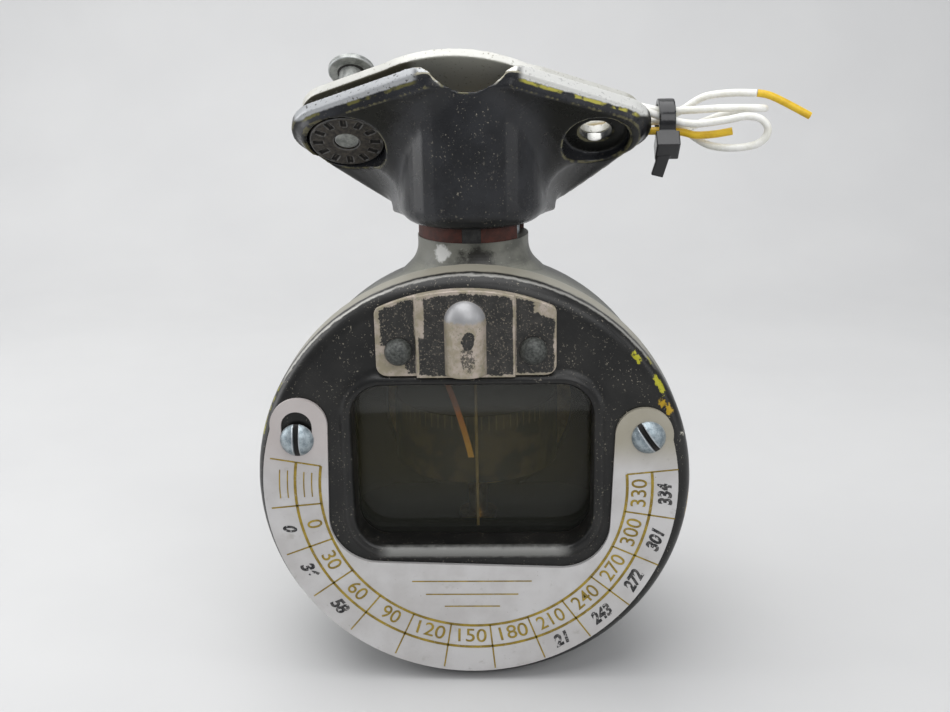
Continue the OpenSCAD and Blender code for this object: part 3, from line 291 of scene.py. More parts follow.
# %% [markdown]
# ## Soft cast edges
# The bracket, bezel and covers are castings or pressings, whose edges are round. The solids have
# sharp ones. Bevels would need care wherever several edges meet, so a copy is remeshed on a fine
# grid and relaxed a few times, which rounds every edge by about the grid's size. Blender's own
# measure of bulges is uneven on such a mesh, so each point's bend is worked out from its
# neighbours and kept on the mesh for the worn edges.

# %% Measure the bulges
def measure_bulge(mesh, rounds=2):
    """Keeps how sharply the mesh bulges at each point, averaged over a few rounds."""
    count = len(mesh.vertices)
    place, normal = np.empty(count * 3), np.empty(count * 3)
    mesh.vertices.foreach_get("co", place)
    mesh.vertices.foreach_get("normal", normal)
    place, normal = place.reshape(-1, 3) / MM, normal.reshape(-1, 3)
    pairs = np.empty(len(mesh.edges) * 2, dtype=np.int32)
    mesh.edges.foreach_get("vertices", pairs)
    a, b = pairs.reshape(-1, 2).T

    def total(at_a, at_b):
        return np.bincount(a, at_a, count) + np.bincount(b, at_b, count)

    step = place[b] - place[a]
    square = (step * step).sum(1)
    bend = total(-2 * (normal[a] * step).sum(1), 2 * (normal[b] * step).sum(1))
    bulge = bend / total(square, square)
    ones = np.ones(len(a))
    for _ in range(rounds):
        bulge = (bulge + total(bulge[b], bulge[a]) / total(ones, ones)) / 2
    mesh.attributes.new("bulge", "FLOAT", "POINT").data.foreach_set("value", bulge)


print("bulges can be measured")


# %% Soften a copy of a solid
def soften(node, grid, passes, cutters=()):
    """A copy of a solid with rounded edges, which stands for it. grid is in millimetres."""
    mesh = nodes[node].data.copy()
    mesh.materials.clear()
    piece = put(node + "_soft", mesh)
    for cutter in cutters:
        piece.modifiers.new("cut", "BOOLEAN").object = cutter
    remesh = piece.modifiers.new("grid", "REMESH")
    remesh.mode = "VOXEL"
    remesh.voxel_size = grid * MM
    remesh.use_smooth_shade = True
    relax = piece.modifiers.new("relax", "SMOOTH")
    relax.factor = 0.5
    relax.iterations = passes
    graph = bpy.context.evaluated_depsgraph_get()
    done = bpy.data.meshes.new_from_object(piece.evaluated_get(graph))
    piece.modifiers.clear()
    piece.data = done
    for cutter in cutters:
        bpy.data.objects.remove(cutter)
    done.polygons.foreach_set("use_smooth", [True] * len(done.polygons))
    measure_bulge(done)
    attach(piece, body_of[node])
    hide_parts(node)
    print(node, "softened to", len(done.polygons), "faces")
    return piece


print("solids can be softened")

# %% [markdown]
# The post lies in a groove across the sloping flange. The groove's two corners are far rounder
# than the grid makes them, and relaxing for longer would melt the ears as well. So a wedge with
# a hollow side, which meets both the flange and the groove smoothly, cuts each corner first.

# %% Wedges for the groove's corners
SLOPE = math.sqrt(0.5)
POST_R, GROOVE_DEPTH, CORNER_R = 10.8, 4.4, 6.0
ARC_STEPS, SPARE, WEDGE_HALF = 8, 0.6, 30  # of the hollow side, over the edges, half length


def put_mesh(name, mesh):
    """Turns a finished bmesh into an object."""
    data = bpy.data.meshes.new(name)
    mesh.to_mesh(data)
    mesh.free()
    return put(name, data)


def shoulder_cutter(side):
    """The wedge at one side, -1 or 1. Its section is drawn across the slope."""
    rise = POST_R - GROOVE_DEPTH + CORNER_R
    out = math.sqrt((POST_R + CORNER_R) ** 2 - rise ** 2)
    turn = math.acos(rise / (POST_R + CORNER_R))
    angles = [math.pi / 2 + turn * i / ARC_STEPS for i in range(ARC_STEPS + 1)]
    section = [(out + CORNER_R * math.cos(a), CORNER_R * math.sin(a) - CORNER_R) for a in angles]
    inner, low = section[-1]
    section += [(inner - SPARE, low), (inner - SPARE, SPARE), (out, SPARE)]
    mesh = bmesh.new()
    ends = []
    for along in (-WEDGE_HALF, WEDGE_HALF):
        places = [(side * x, SLOPE * (along + n), SLOPE * (n - along)) for x, n in section]
        ends.append([mesh.verts.new(Vector(place) * MM) for place in places])
        mesh.faces.new(ends[-1])
    for i in range(len(section)):
        mesh.faces.new((ends[0][i - 1], ends[0][i], ends[1][i], ends[1][i - 1]))
    bmesh.ops.recalc_face_normals(mesh, faces=mesh.faces)
    return put_mesh("shoulder_cutter", mesh)


wedges = [shoulder_cutter(-1), shoulder_cutter(1)]
print(len(wedges), "wedges")

# %% Soften the castings
SOFT_GRIDS = {  # grid in millimetres and rounds of relaxing
    "bracket": (0.3, 8), "bezel": (0.4, 26), "lamp_cover": (0.15, 3), "clamp_cap": (0.22, 6),
    "cable_tie": (0.14, 3), "cover_screws": (0.14, 3), "plate_screws": (0.13, 2),
    "clamp_nut": (0.16, 2), "clamp_screw": (0.16, 2),
}
cast = {node: soften(node, grid, passes, wedges if node == "bracket" else ())
    for node, (grid, passes) in SOFT_GRIDS.items()}
shown = {**nodes, **cast, **wires}  # what is seen of each node
print(len(shown), "nodes to paint,", len(cast), "of them softened")

# %% [markdown]
# ## Worn black paint
# The bezel and the bracket are castings in satin black over yellow primer. A plain black would
# look like plastic. Close up the paint is clouded, dusted with pale specks and rubbed thin on its
# edges. One recipe gives that ground, and each casting then adds its own worn places to it.

# %% Worn paint recipe
PALE_DUST = (0.22, 0.2, 0.16, 1)


def worn_ground(place, deep, tone, speck):
    """Clouded paint with pale specks, which are thicker where the mask speck is high."""
    cloud = noise(place, 7, 4)
    dust = noise(place, 0.42, 2, 0.6).rise(0.63, 0.7) * noise(place, 4, 3).rise(0.4, 0.6) * speck
    return dust.mix(cloud.rise(0.3, 0.7).mix(deep, tone), PALE_DUST), dust


def finish_paint(material, place, colour, bare, sheen, dust):
    """Satin paint that is rougher, and lies higher or lower, where it is dusty or bare."""
    fine, cloud = noise(place, 0.3, 2), noise(place, 5, 3)
    return dress(material, {
        "Base Color": colour,
        "Roughness": sheen + 0.14 * (cloud - 0.5) + 0.25 * dust + 0.1 * bare,
        "Metallic": bare * 0.4,
        "Specular IOR Level": 0.34,
        "Normal": grain(place, fine * 0.6 - bare * 0.6 + dust * 0.5, 0.05, 0.4),
    })


def paint(node, material):
    """Gives a material to what is seen of a node."""
    coats = shown[node].data.materials
    coats.clear()
    coats.append(material)


print("paint recipe ready")

# %% [markdown]
# ## Bezel
# The upper rim of the bezel is painted bright: partly worn paint, and partly a painted highlight
# of the light from above, brightest at the upper left. Knocks have left yellow chips at both sides
# of it, and the window's lower lip is painted pale grey as a painted highlight. Such wear could be
# painted by hand on an unwrapped mesh. Masks need no unwrapping: the rim is found by its distance
# from the case's middle, and the chips are streaks that follow the rim between two angles.

# %% Places on the face
FACE_Y = -28.4  # the bezel's face
DROP = 64.4  # from the origin down to the case's middle


def axis(place, letter):
    """One of a place's coordinates: X, Y or Z."""
    return place.node("SeparateXYZ", None, {0: place}, letter)


def between(value, low, high, soft=0.1):
    """1 where a value lies between two others."""
    return value.rise(low - soft, low + soft) * (1 - value.rise(high - soft, high + soft))


def radius(across, up):
    """Distance from the middle."""
    return (across * across + up * up) ** 0.5


def degrees(up, across):
    """Angle round the middle."""
    return up.maths("ARCTAN2", up, across) * (180 / math.pi)


def largest(masks):
    """The largest of several masks."""
    return functools.reduce(operator.or_, masks)


print("face lies", -FACE_Y, "mm in front of the swivel")

# %% Bezel finish
PRIMER = (0.38, 0.36, 0.02, 1)
OCHRE = (0.42, 0.27, 0.015, 1)
CREAM = (0.55, 0.53, 0.45, 1)
CHIPS = (  # first and last angle, inner and outer radius, colour
    (38.4, 41.4, 39.1, 40.0, PRIMER), (36.2, 37.6, 40.8, 41.5, PRIMER),
    (27.4, 32.6, 39.6, 40.5, PRIMER), (24.2, 26.4, 38.5, 39.5, OCHRE),
    (21.2, 24.0, 39.1, 40.2, OCHRE), (13.9, 14.8, 40.1, 40.8, CREAM),
    (-9, -2, 41.0, 41.6, OCHRE), (150, 166, 41.0, 41.6, PRIMER),
)
RIM_R = (40.65, 40.9)  # where the face rounds over into the side
RIM_WORN_LIT_TURN, RIM_HIGHLIGHT_PEAK = (36, 149), (104, 122)  # angles of the worn rim with its painted highlight, and of the highlight's brightest part
FRONT_ENDS, BACK_STARTS, LIP_ENDS = (1.8, 2.6), (2.8, 4), (-0.2, 0.4)  # depths behind the face
LIP_UP, LIP_HALF = (-14.3, -12.1), 17.5  # the window's lower lip, painted pale as a painted highlight


def bezel_finish():
    material, place = new_finish("bezel_black")
    x, behind, up = axis(place, "X"), axis(place, "Y") - FACE_Y, axis(place, "Z") + DROP
    r, turn = radius(x, up), degrees(up, x)
    ragged, torn = noise(place, 1.6, 4, 0.65) - 0.5, noise(place, 0.9, 4, 0.7) - 0.5
    colour, dust = worn_ground(place, (0.007, 0.007, 0.0068, 1), (0.016, 0.0155, 0.0145, 1), 0.85)
    front = 1 - (behind + 1.2 * ragged).rise(*FRONT_ENDS)
    # The rim: worn paint and a painted highlight, brightest at the upper left.
    rubbed = turn + 8 * ragged
    worn_lit_rim_arc = between(rubbed, *RIM_WORN_LIT_TURN, 4) * (0.55 + 0.45 * rubbed.rise(*RIM_HIGHLIGHT_PEAK))
    rim = (r + 0.5 * ragged).rise(*RIM_R) * front * worn_lit_rim_arc
    colour = (0.85 * rim).mix(colour, (0.6, 0.59, 0.55, 1))
    back = (behind + 1.5 * ragged).rise(*BACK_STARTS) * (up + 8 * ragged).rise(16, 30)
    colour = (0.8 * back).mix(colour, (0.4, 0.38, 0.31, 1))
    # The lower lip of the window: a painted highlight of the light from above.
    lip_highlight = between(up + 0.8 * ragged, *LIP_UP, 0.5) * (1 - behind.rise(*LIP_ENDS))
    lip_highlight = lip_highlight * between(x + 2 * ragged, -LIP_HALF, LIP_HALF, 2)
    colour = (0.8 * lip_highlight).mix(colour, (0.27, 0.27, 0.255, 1))
    bare = [rim * 0.9, back * 0.7]
    for first, last, inner, outer, tint in CHIPS:
        streak = between(turn + 5 * torn, first, last, 0.5) * front
        streak = streak * between(r + 1.8 * torn, inner, outer, 0.12)
        colour = streak.mix(colour, tint)
        bare.append(streak * 0.4)
    return finish_paint(material, place, colour, largest(bare), 0.33, dust)


paint("bezel", bezel_finish())
print("bezel painted, with", len(CHIPS), "chips")

# %% [markdown]
# ## Bracket
# The bracket's sloping edge has lost most of its paint, while the boss below keeps a blue-black
# sheen. The bare edge faces the light from above, so it is also painted paler as a painted
# highlight, brighter towards the right, and the undersides of the ears are painted darker as
# painted shade. One mask of sharp edges would wear all of them alike, so a dot product with the
# slope's own direction picks that edge out, and the mesh's bulges give the thin cream line round
# the groove.

# %% Edges and directions
SLOPE_UP, SLOPE_UNDER = (0, -0.7071, 0.7071), (0, -0.7071, -0.7071)


def edges(place):
    """How sharply a softened mesh bulges, in 1/mm: 0 is flat and hollows are below 0."""
    return place.node("Attribute", {"attribute_name": "bulge"}, None, "Fac")


def facing(place, direction):
    """How squarely the surface faces a direction of its own body."""
    normal = place.node("TexCoord", None, None, "Normal")
    return place.node("VectorMath", {"operation": "DOT_PRODUCT"}, {0: normal, 1: direction},
        "Value")


print("the clamp's slope looks along", SLOPE_UP)

# %% Bracket finish
HOLE_X, HOLE_ALONG, HOLE_SQUARE = 24.2, -0.6, (11, 12)  # an ear's hole and its radius squared
RIM_ALONG, RIM_FLAT, RIM_FALL = -18.4, 8.7, 0.47  # the upper rim falls beyond its flat middle
RIM_BAND, EAR_STARTS = (1.2, 2.0), (9, 10.5)  # down from the rim, and aside from the groove
PALE_DEEP, PRIMER_DEEP = (-2.7, -2.4), (-3.1, -2.6)  # below the plane that the strap clamps to


def bracket_finish():
    material, place = new_finish("bracket_charcoal")
    x, y, z = axis(place, "X"), axis(place, "Y"), axis(place, "Z")
    aside, along, deep = abs(x), (y - z) * SLOPE, (y + z) * SLOPE
    ragged, fine = noise(place, 1.4, 4, 0.65) - 0.5, noise(place, 0.5, 3)
    patchy = noise(place, 3.5, 3).rise(0.45, 0.55)
    colour, dust = worn_ground(place, (0.011, 0.0115, 0.013, 1), (0.022, 0.023, 0.026, 1),
        0.35 + 0.65 * (1 - aside.rise(3, 9)))
    # Painted shade under the ears of the flange.
    shaded_underside = facing(place, SLOPE_UNDER).rise(0.6, 0.9) * aside.rise(12, 17)
    colour = (0.85 * shaded_underside).mix(colour, (0.004, 0.004, 0.003, 1))
    near = 1 - (along - RIM_ALONG - RIM_FALL * (aside - RIM_FLAT | 0)).rise(*RIM_BAND)
    ear = aside.rise(*EAR_STARTS)
    hole = 1 - ((aside - HOLE_X) ** 2 + (along - HOLE_ALONG) ** 2).rise(*HOLE_SQUARE)
    # The bare upper edge, painted paler still as a painted highlight, brighter towards the right.
    worn_lit_edge = (facing(place, SLOPE_UP) + 0.1 * ragged).rise(0.87, 0.93) * (near | hole)
    worn_lit_edge = worn_lit_edge | near * ear * (deep + 0.5 * ragged).rise(*PALE_DEEP)
    pale_highlit_right = x.rise(-12, 12).mix((0.4, 0.41, 0.42, 1), (0.72, 0.72, 0.69, 1))
    specks = (fine + 0.4 * ragged).rise(0.6, 0.68) * (1 - 0.7 * x.rise(4, 12))
    colour = worn_lit_edge.mix(colour, specks.mix(pale_highlit_right, (0.09, 0.09, 0.09, 1)))
    primer = near * ear * between(deep + 0.5 * ragged, *PRIMER_DEEP) * patchy
    colour = (primer * (0.7 * x.rise(-9, 9) + 0.2)).mix(colour, (0.45, 0.41, 0.07, 1))
    thin = (edges(place) + 0.5 * ragged).rise(0.35, 0.6) * (1 - worn_lit_edge)
    rim = thin * near * (1 - ear)
    colour = (0.9 * rim).mix(colour, (0.5, 0.47, 0.36, 1))
    colour = (0.6 * thin * (1 - near) * patchy).mix(colour, (0.16, 0.145, 0.07, 1))
    return finish_paint(material, place, colour, worn_lit_edge * 0.8 | rim * 0.5, 0.28, dust)


paint("bracket", bracket_finish())
print("bracket painted")

# %% [markdown]
# ## Case and neck
# Behind the bezel the case is a plain casting in grey-green, with a rubbed neck above and a black
# bowl inside. Its mesh is right as it is, so it only takes a finish. One even paint would look
# new, so masks of place and direction add a dark smear on the neck's front, one white scar beside
# it, and the black of the walls that face inwards. A mask of direction also makes its upward faces
# near the front paler.

# %% Case finish
BOWL_R = (37.3, 37.5)  # the inside ends at this distance from the case's middle
NECK_Z = (-27, -24)  # the neck starts at this height
SMEAR, SMEAR_R = (1.0, -11, -25.5), 4.6
SCAR, SCAR_R = (-5.8, -9.4, -23.2), 2.1


def spot(place, centre, size, ragged, soft):
    """A ragged patch round a point."""
    away = place.node("VectorMath", {"operation": "DISTANCE"}, {0: place, 1: centre}, "Value")
    return (1 - away / size + ragged).rise(0, soft)


def case_finish():
    material, place = new_finish("case_grey_green")
    x, y, z = axis(place, "X"), axis(place, "Y"), axis(place, "Z")
    up = z + DROP
    cloud, fine = noise(place, 7, 4), noise(place, 0.7, 3)
    ragged = 1.3 * (noise(place, 2.2, 4, 0.65) - 0.5) + 0.6 * (fine - 0.5)
    colour = cloud.rise(0.35, 0.7).mix((0.06, 0.061, 0.055, 1), (0.11, 0.112, 0.1, 1))
    neck = (z + 2 * ragged).rise(*NECK_Z)
    rubbed = cloud.rise(0.4, 0.6).mix((0.085, 0.086, 0.072, 1), (0.17, 0.17, 0.145, 1))
    colour = neck.mix(colour, rubbed)
    colour = spot(place, SMEAR, SMEAR_R, ragged, 0.5).mix(colour, (0.013, 0.012, 0.009, 1))
    colour = spot(place, SCAR, SCAR_R, ragged, 0.4).mix(colour, (0.55, 0.55, 0.53, 1))
    colour = fine.rise(0.64, 0.72).mix(colour, (0.22, 0.22, 0.19, 1))
    # Paler on its upward faces near the front.
    top = facing(place, (0, 0, 1)).rise(0.2, 0.7) * (1 - (y + 4 * ragged).rise(-10, 2))
    colour = (top * (1 - neck) * 0.8).mix(colour, (0.31, 0.31, 0.26, 1))
    outward = facing(place, (1, 0, 0)) * x + facing(place, (0, 0, 1)) * up
    inward = 1 - outward.rise(-0.5, 0) | facing(place, (0, -1, 0)).rise(0.3, 0.5)
    inside = inward * (1 - radius(x, up).rise(*BOWL_R))
    bowl = cloud.rise(0.35, 0.7).mix((0.008, 0.008, 0.006, 1), (0.016, 0.015, 0.01, 1))
    return dress(material, {"Base Color": inside.mix(colour, bowl),
        "Roughness": 0.45 + 0.3 * (cloud - 0.5), "Normal": grain(place, fine, 0.06, 0.4)})


case_paint = case_finish()
for node in ("case", "rear_cover"):
    paint(node, case_paint)
print("case and rear cover painted")

# %% [markdown]
# ## Plain metals, rubber and fibre
# Screws, washers, wires and brass pieces are small, and a recipe of its own for each would be
# long. They share one: two tones in fine lumps, a sheen that varies, and a little grain. A table
# says which piece takes which tones.

# %% Table of plain finishes
PLAIN_FINISHES = (  # name, two tones, size of lumps, roughness, metallic, grain's depth, nodes
    ("zinc_steel", (0.13, 0.15, 0.16, 1), (0.34, 0.37, 0.38, 1), 1.6, 0.38, 0.85, 0.03,
        "clamp_spacer wave_washer stop_pin bezel_screws rear_screws pivot_needle"),
    ("brass", (0.38, 0.26, 0.09, 1), (0.6, 0.44, 0.18, 1), 2.5, 0.32, 0.95, 0.03,
        "swivel_screw lamp_holder rear_diaphragm filler_plug pivot_post compensator_frame "
        "north_adjuster north_follower east_adjuster east_follower"),
    ("red_fibre", (0.035, 0.007, 0.003, 1), (0.075, 0.016, 0.008, 1), 1.4, 0.7, 0.0, 0.06,
        "friction_ring filler_washer"),
    ("black_rubber", (0.008, 0.008, 0.008, 1), (0.02, 0.02, 0.02, 1), 2, 0.65, 0.0, 0.03,
        "wire_grommet glass_gasket"),
    ("key_steel", (0.012, 0.012, 0.012, 1), (0.035, 0.034, 0.033, 1), 0.8, 0.5, 0.2, 0.03,
        "ring_key"),
    ("tie_nylon", (0.006, 0.006, 0.007, 1), (0.012, 0.012, 0.013, 1), 2, 0.2, 0.0, 0.03,
        "cable_tie"),
    ("magnet_steel", (0.1, 0.1, 0.11, 1), (0.25, 0.25, 0.27, 1), 1.5, 0.35, 0.9, 0.03,
        "card_magnets north_adjuster_magnet north_follower_magnet east_adjuster_magnet "
        "east_follower_magnet"),
    ("white_sleeve", (0.74, 0.73, 0.66, 1), (0.86, 0.855, 0.82, 1), 3, 0.4, 0.0, 0.03,
        "lamp_lead white_hank white_lead"),
    ("yellow_sleeve", (0.6, 0.36, 0.01, 1), (0.76, 0.5, 0.02, 1), 3, 0.4, 0.0, 0.03,
        "yellow_tail yellow_lead"),
    ("dome_paint", (0.016, 0.018, 0.016, 1), (0.085, 0.09, 0.082, 1), 0.5, 0.5, 0.1, 0.1,
        "cover_screws"),
    ("jewel_red", (0.4, 0.01, 0.04, 1), (0.6, 0.03, 0.08, 1), 1, 0.15, 0.0, 0.03, "jewel_cup"),
    ("lamp_glass", (0.5, 0.48, 0.4, 1), (0.7, 0.68, 0.6, 1), 3, 0.1, 0.0, 0.03, "lamp_bulb"),
    ("pale_wire", (0.2, 0.14, 0.04, 1), (0.36, 0.26, 0.08, 1), 2, 0.5, 0.1, 0.03, "lubber_line"),
    ("float_paint", (0.2, 0.2, 0.18, 1), (0.3, 0.3, 0.27, 1), 4, 0.6, 0.0, 0.03, "card_float"),
)
print(len(PLAIN_FINISHES), "plain finishes")


# %% Paint the plain pieces
def mottle(place, low, high, size):
    """Two tones in lumps of that size with finer spots in them, and the spots' own noise."""
    cloud, fine = noise(place, size, 4), noise(place, size / 6, 2)
    return (cloud * 0.7 + fine * 0.3).rise(0.35, 0.65).mix(low, high), fine


for name, low, high, size, rough, metallic, depth, takers in PLAIN_FINISHES:
    material, place = new_finish(name)
    colour, fine = mottle(place, low, high, size)
    dress(material, {"Base Color": colour, "Roughness": rough + 0.2 * (fine - 0.5),
        "Metallic": metallic, "Normal": grain(place, fine, depth, 0.4)})
    for node in takers.split():
        paint(node, material)
    print(name, "on", takers)

# %% [markdown]
# The screws and the nut that are handled have painted shade, nearly black, in their slots and
# notches, and bright worn edges that also carry a painted highlight. A dark mesh could fill each
# slot, but the bulges of the softened mesh already tell hollows from edges. The floor of a wide
# slot is flat and so neither, and the plate screws' slots are marked by their place and turn.

# %% Handled screws and nut
PLATE_SLOTS = (((-32.8, -54.2), 0), ((32.8, -54.2), 35))  # middle in x and z, turn in degrees
SLOT_HALF = 0.5
# Colours of the painted shade in hollows and of the worn edges' painted highlight.
HOLLOW_SHADE_COLOUR, WORN_EDGE_GLINT_COLOUR = (0.012, 0.011, 0.01, 1), (0.6, 0.62, 0.63, 1)


def metal_with_painted_shade(name, low, high, size, rough, metallic, worn_edge_glint=0.5, slots=()):
    """Mottled metal of a softened piece, with painted shade in its hollows and bright worn edges
    that carry a painted highlight.
    """
    material, place = new_finish(name)
    colour, fine = mottle(place, low, high, size)
    x, z, bulge = axis(place, "X"), axis(place, "Z"), edges(place)
    # Painted shade in the hollows, and below it in the plate screws' slots.
    hollow_shade = 1 - (bulge + 0.4 * (fine - 0.5)).rise(-0.5, -0.15)
    for (slot_x, slot_z), turn in slots:
        a = math.radians(turn)
        aside = (x - slot_x) * math.cos(a) + (z - slot_z) * math.sin(a)
        here = 1 - abs(x - slot_x).rise(4, 5)
        hollow_shade = hollow_shade | here * between(aside, -SLOT_HALF, SLOT_HALF, 0.06)
    colour = hollow_shade.mix((worn_edge_glint * bulge.rise(0.5, 1.2)).mix(colour, WORN_EDGE_GLINT_COLOUR), HOLLOW_SHADE_COLOUR)
    return dress(material, {"Base Color": colour,
        "Roughness": rough + 0.2 * (fine - 0.5) + 0.3 * hollow_shade,
        "Metallic": metallic * (1 - hollow_shade), "Normal": grain(place, fine, 0.03, 0.4)})


paint("plate_screws", metal_with_painted_shade("screw_zinc", (0.17, 0.21, 0.235, 1), (0.4, 0.46, 0.49, 1), 1.3, 0.4,
    0.7, slots=PLATE_SLOTS))
paint("clamp_screw", metal_with_painted_shade("clamp_zinc", (0.2, 0.21, 0.2, 1), (0.42, 0.43, 0.41, 1), 1.6, 0.42,
    0.6))
paint("clamp_nut", metal_with_painted_shade("tarnished_steel", (0.007, 0.006, 0.005, 1), (0.065, 0.054, 0.042, 1),
    0.8, 0.6, 0.2, worn_edge_glint=0.12))
print("handled screws and nut finished")

# %% [markdown]
# ## Lamp cover
# The pressed cover is painted black, but most of the paint has gone from its rim, its steps and
# the round hood, where pinkish alloy shows. The top of the hood is painted pale grey as a painted
# highlight. Flakes could be modelled, but paint is thinner than the mesh's grid, so the colour
# alone tells it. Where it has gone is a list of set places, with the bulges of the mesh, all
# broken up by noise.

# %% Lamp cover finish
LAMP_X = -0.8
HOOD_HALF, HOOD_OUT = (3.85, 4.05), (2.5, 2.7)  # half width, and how far it stands off the face


def oval(across, up, centre, size):
    """0 in the middle of an oval and 1 on its line."""
    return ((across - centre[0]) / size[0]) ** 2 + ((up - centre[1]) / size[1]) ** 2


def cover_finish():
    material, place = new_finish("cover_chipped")
    x, out, up = axis(place, "X") - LAMP_X, FACE_Y - axis(place, "Y"), axis(place, "Z") + DROP
    r = radius(x, up)
    cloud, fine = noise(place, 2.4, 4, 0.6), noise(place, 0.45, 3)
    ragged = 2.2 * (cloud - 0.5) + 1.3 * (fine - 0.5)
    worn = {
        "left end": (-15.2 - x + ragged).rise(0, 0.25),
        "right end": (x - 15.95 + 0.5 * ragged).rise(0, 0.2),
        "upper rim": (r - 38.3 + 0.7 * ragged).rise(0, 0.2),
        "lower rim": (23.3 - up + 0.6 * ragged).rise(0, 0.2),
        "lower left": (-10.6 - x + ragged).rise(0, 0.25) * (28.6 - up + ragged).rise(0, 0.25),
        "upper right": (x - 12 + ragged).rise(0, 0.25) * (r - 36.6 + ragged).rise(0, 0.25),
        "left step": between(x + 0.2 * ragged, -9.2, -8.5),
        "its top": between(x + 0.3 * ragged, -9.3, -7.4) * (up + ragged).rise(30.2, 30.8),
        "right step": between(x + 0.2 * ragged, 8.6, 9.2),
        "sharp edges": (edges(place) + 0.5 * ragged).rise(0.9, 1.3),
    }
    hood = (1 - abs(x).rise(*HOOD_HALF)) * out.rise(*HOOD_OUT)
    patch = oval(x, up, (0.6, 30.3), (1.2, 1.7)) + 3 * (cloud - 0.5)
    low_patch = oval(x, up, (0.5, 27), (1.5, 2.6)) + 3 * (cloud - 0.5)
    kept = (1 - patch).rise(0, 0.15) | (1 - low_patch).rise(0, 0.3) * fine.rise(0.42, 0.5) * 0.8
    bare = largest(worn.values()) * (1 - hood) | hood * (1 - kept)
    black = cloud.rise(0.4, 0.65).mix((0.012, 0.0115, 0.01, 1), (0.028, 0.026, 0.023, 1))
    black = noise(place, 0.33, 2).rise(0.6, 0.66).mix(black, (0.15, 0.13, 0.1, 1))
    alloy = cloud.rise(0.35, 0.65).mix((0.29, 0.255, 0.18, 1), (0.44, 0.375, 0.32, 1))
    alloy = fine.rise(0.55, 0.7).mix(alloy, (0.26, 0.25, 0.19, 1))
    # Painted highlight on the top of the hood.
    dome_highlight = hood * (up + 0.8 * ragged).rise(33.2, 34)
    alloy = dome_highlight.mix(alloy, (0.33, 0.33, 0.335, 1))
    return dress(material, {"Base Color": bare.mix(black, alloy),
        "Roughness": 0.5 + 0.2 * (fine - 0.5) - 0.04 * bare, "Metallic": bare * 0.3 + dome_highlight * 0.2,
        "Normal": grain(place, fine * 0.4 - bare, 0.08, 0.5)})


paint("lamp_cover", cover_finish())
print("lamp cover chipped")

# %% [markdown]
# ## Clamp strap
# The strap behind the flange is bare metal with cream paint left on it. Under it, beside its arch,
# it is painted dark as painted shade, and where it faces up it is painted paler as a painted
# highlight. A plain recipe would make all its sides alike, so masks of direction tell them apart.

# %% Strap finish
def strap_finish():
    material, place = new_finish("strap_cream")
    cloud, fine = noise(place, 6, 4), noise(place, 0.6, 3)
    colour = cloud.rise(0.35, 0.65).mix((0.42, 0.41, 0.35, 1), (0.6, 0.59, 0.54, 1))
    arch = 1 - abs(axis(place, "X")).rise(9, 12)
    # Painted shade on the underside, darkest beside the arch.
    shaded_underside = (facing(place, SLOPE_UNDER) + 0.3 * (fine - 0.5)).rise(0.3, 0.7)
    colour = shaded_underside.mix(colour, arch.mix((0.1, 0.092, 0.062, 1), (0.42, 0.415, 0.36, 1)))
    # Painted highlight where the strap faces up.
    front = facing(place, SLOPE_UP).rise(0.75, 0.9)
    colour = (0.7 * front).mix(colour, (0.58, 0.58, 0.55, 1))
    colour = fine.rise(0.62, 0.7).mix(colour, (0.26, 0.25, 0.2, 1))
    return dress(material, {"Base Color": colour, "Roughness": 0.42 + 0.2 * (fine - 0.5),
        "Metallic": 0.2, "Normal": grain(place, fine, 0.04, 0.4)})


paint("clamp_cap", strap_finish())
print("strap finished")

# %% [markdown]
# ## Correction plate
# A thin aluminium plate carries two ruled rings, a row of courses and hand-inked corrections.
# Lines and figures could be painted in the material, but thin flat meshes keep crisp edges at
# any distance. They lie a hair above the plate and turn with it. The metal itself is clouded and
# stained, and its two upper ends have aged.

# %% Plate metal
def plate_finish():
    material, place = new_finish("plate_metal")
    x, up = axis(place, "X"), axis(place, "Z") + DROP
    cloud, fine = noise(place, 8, 4), noise(place, 0.4, 3)
    stain = noise(place, 2.6, 5, 0.65).rise(0.6, 0.75)
    colour = cloud.rise(0.3, 0.7).mix((0.47, 0.455, 0.445, 1), (0.57, 0.56, 0.555, 1))
    aged = x.rise(-10, 10).mix((0.5, 0.44, 0.42, 1), (0.27, 0.235, 0.13, 1))
    colour = (0.6 * up.rise(2, 10)).mix(colour, aged)
    colour = (0.45 * stain).mix(colour, (0.3, 0.28, 0.25, 1))
    colour = fine.rise(0.67, 0.74).mix(colour, (0.28, 0.26, 0.23, 1))
    return dress(material, {"Base Color": colour, "Roughness": 0.42 + 0.25 * (cloud - 0.5),
        "Metallic": 0.2, "Normal": grain(place, fine, 0.02, 0.3)})


paint("correction_plate", plate_finish())
print("plate finished")

# %% [markdown]
# The ruling is printed in gold round the case's middle. Curves with a bevel would stand up from
# the plate like wires, so each line is a flat strip with two edges.

# %% Strips on the plate
PLATE_T, MARK_LIFT = 0.8, 0.03
MARK_Y = FACE_Y - PLATE_T - MARK_LIFT


def on_plate(r, angle):
    """A point of the ruling: the angle starts at the left and goes down and round."""
    a = math.radians(angle)
    return Vector((-r * math.cos(a), MARK_Y, -r * math.sin(a) - DROP)) * MM


def mark(piece, material):
    """Fixes a printed piece to the plate."""
    piece.data.materials.clear()
    piece.data.materials.append(material)
    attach(piece, "case")


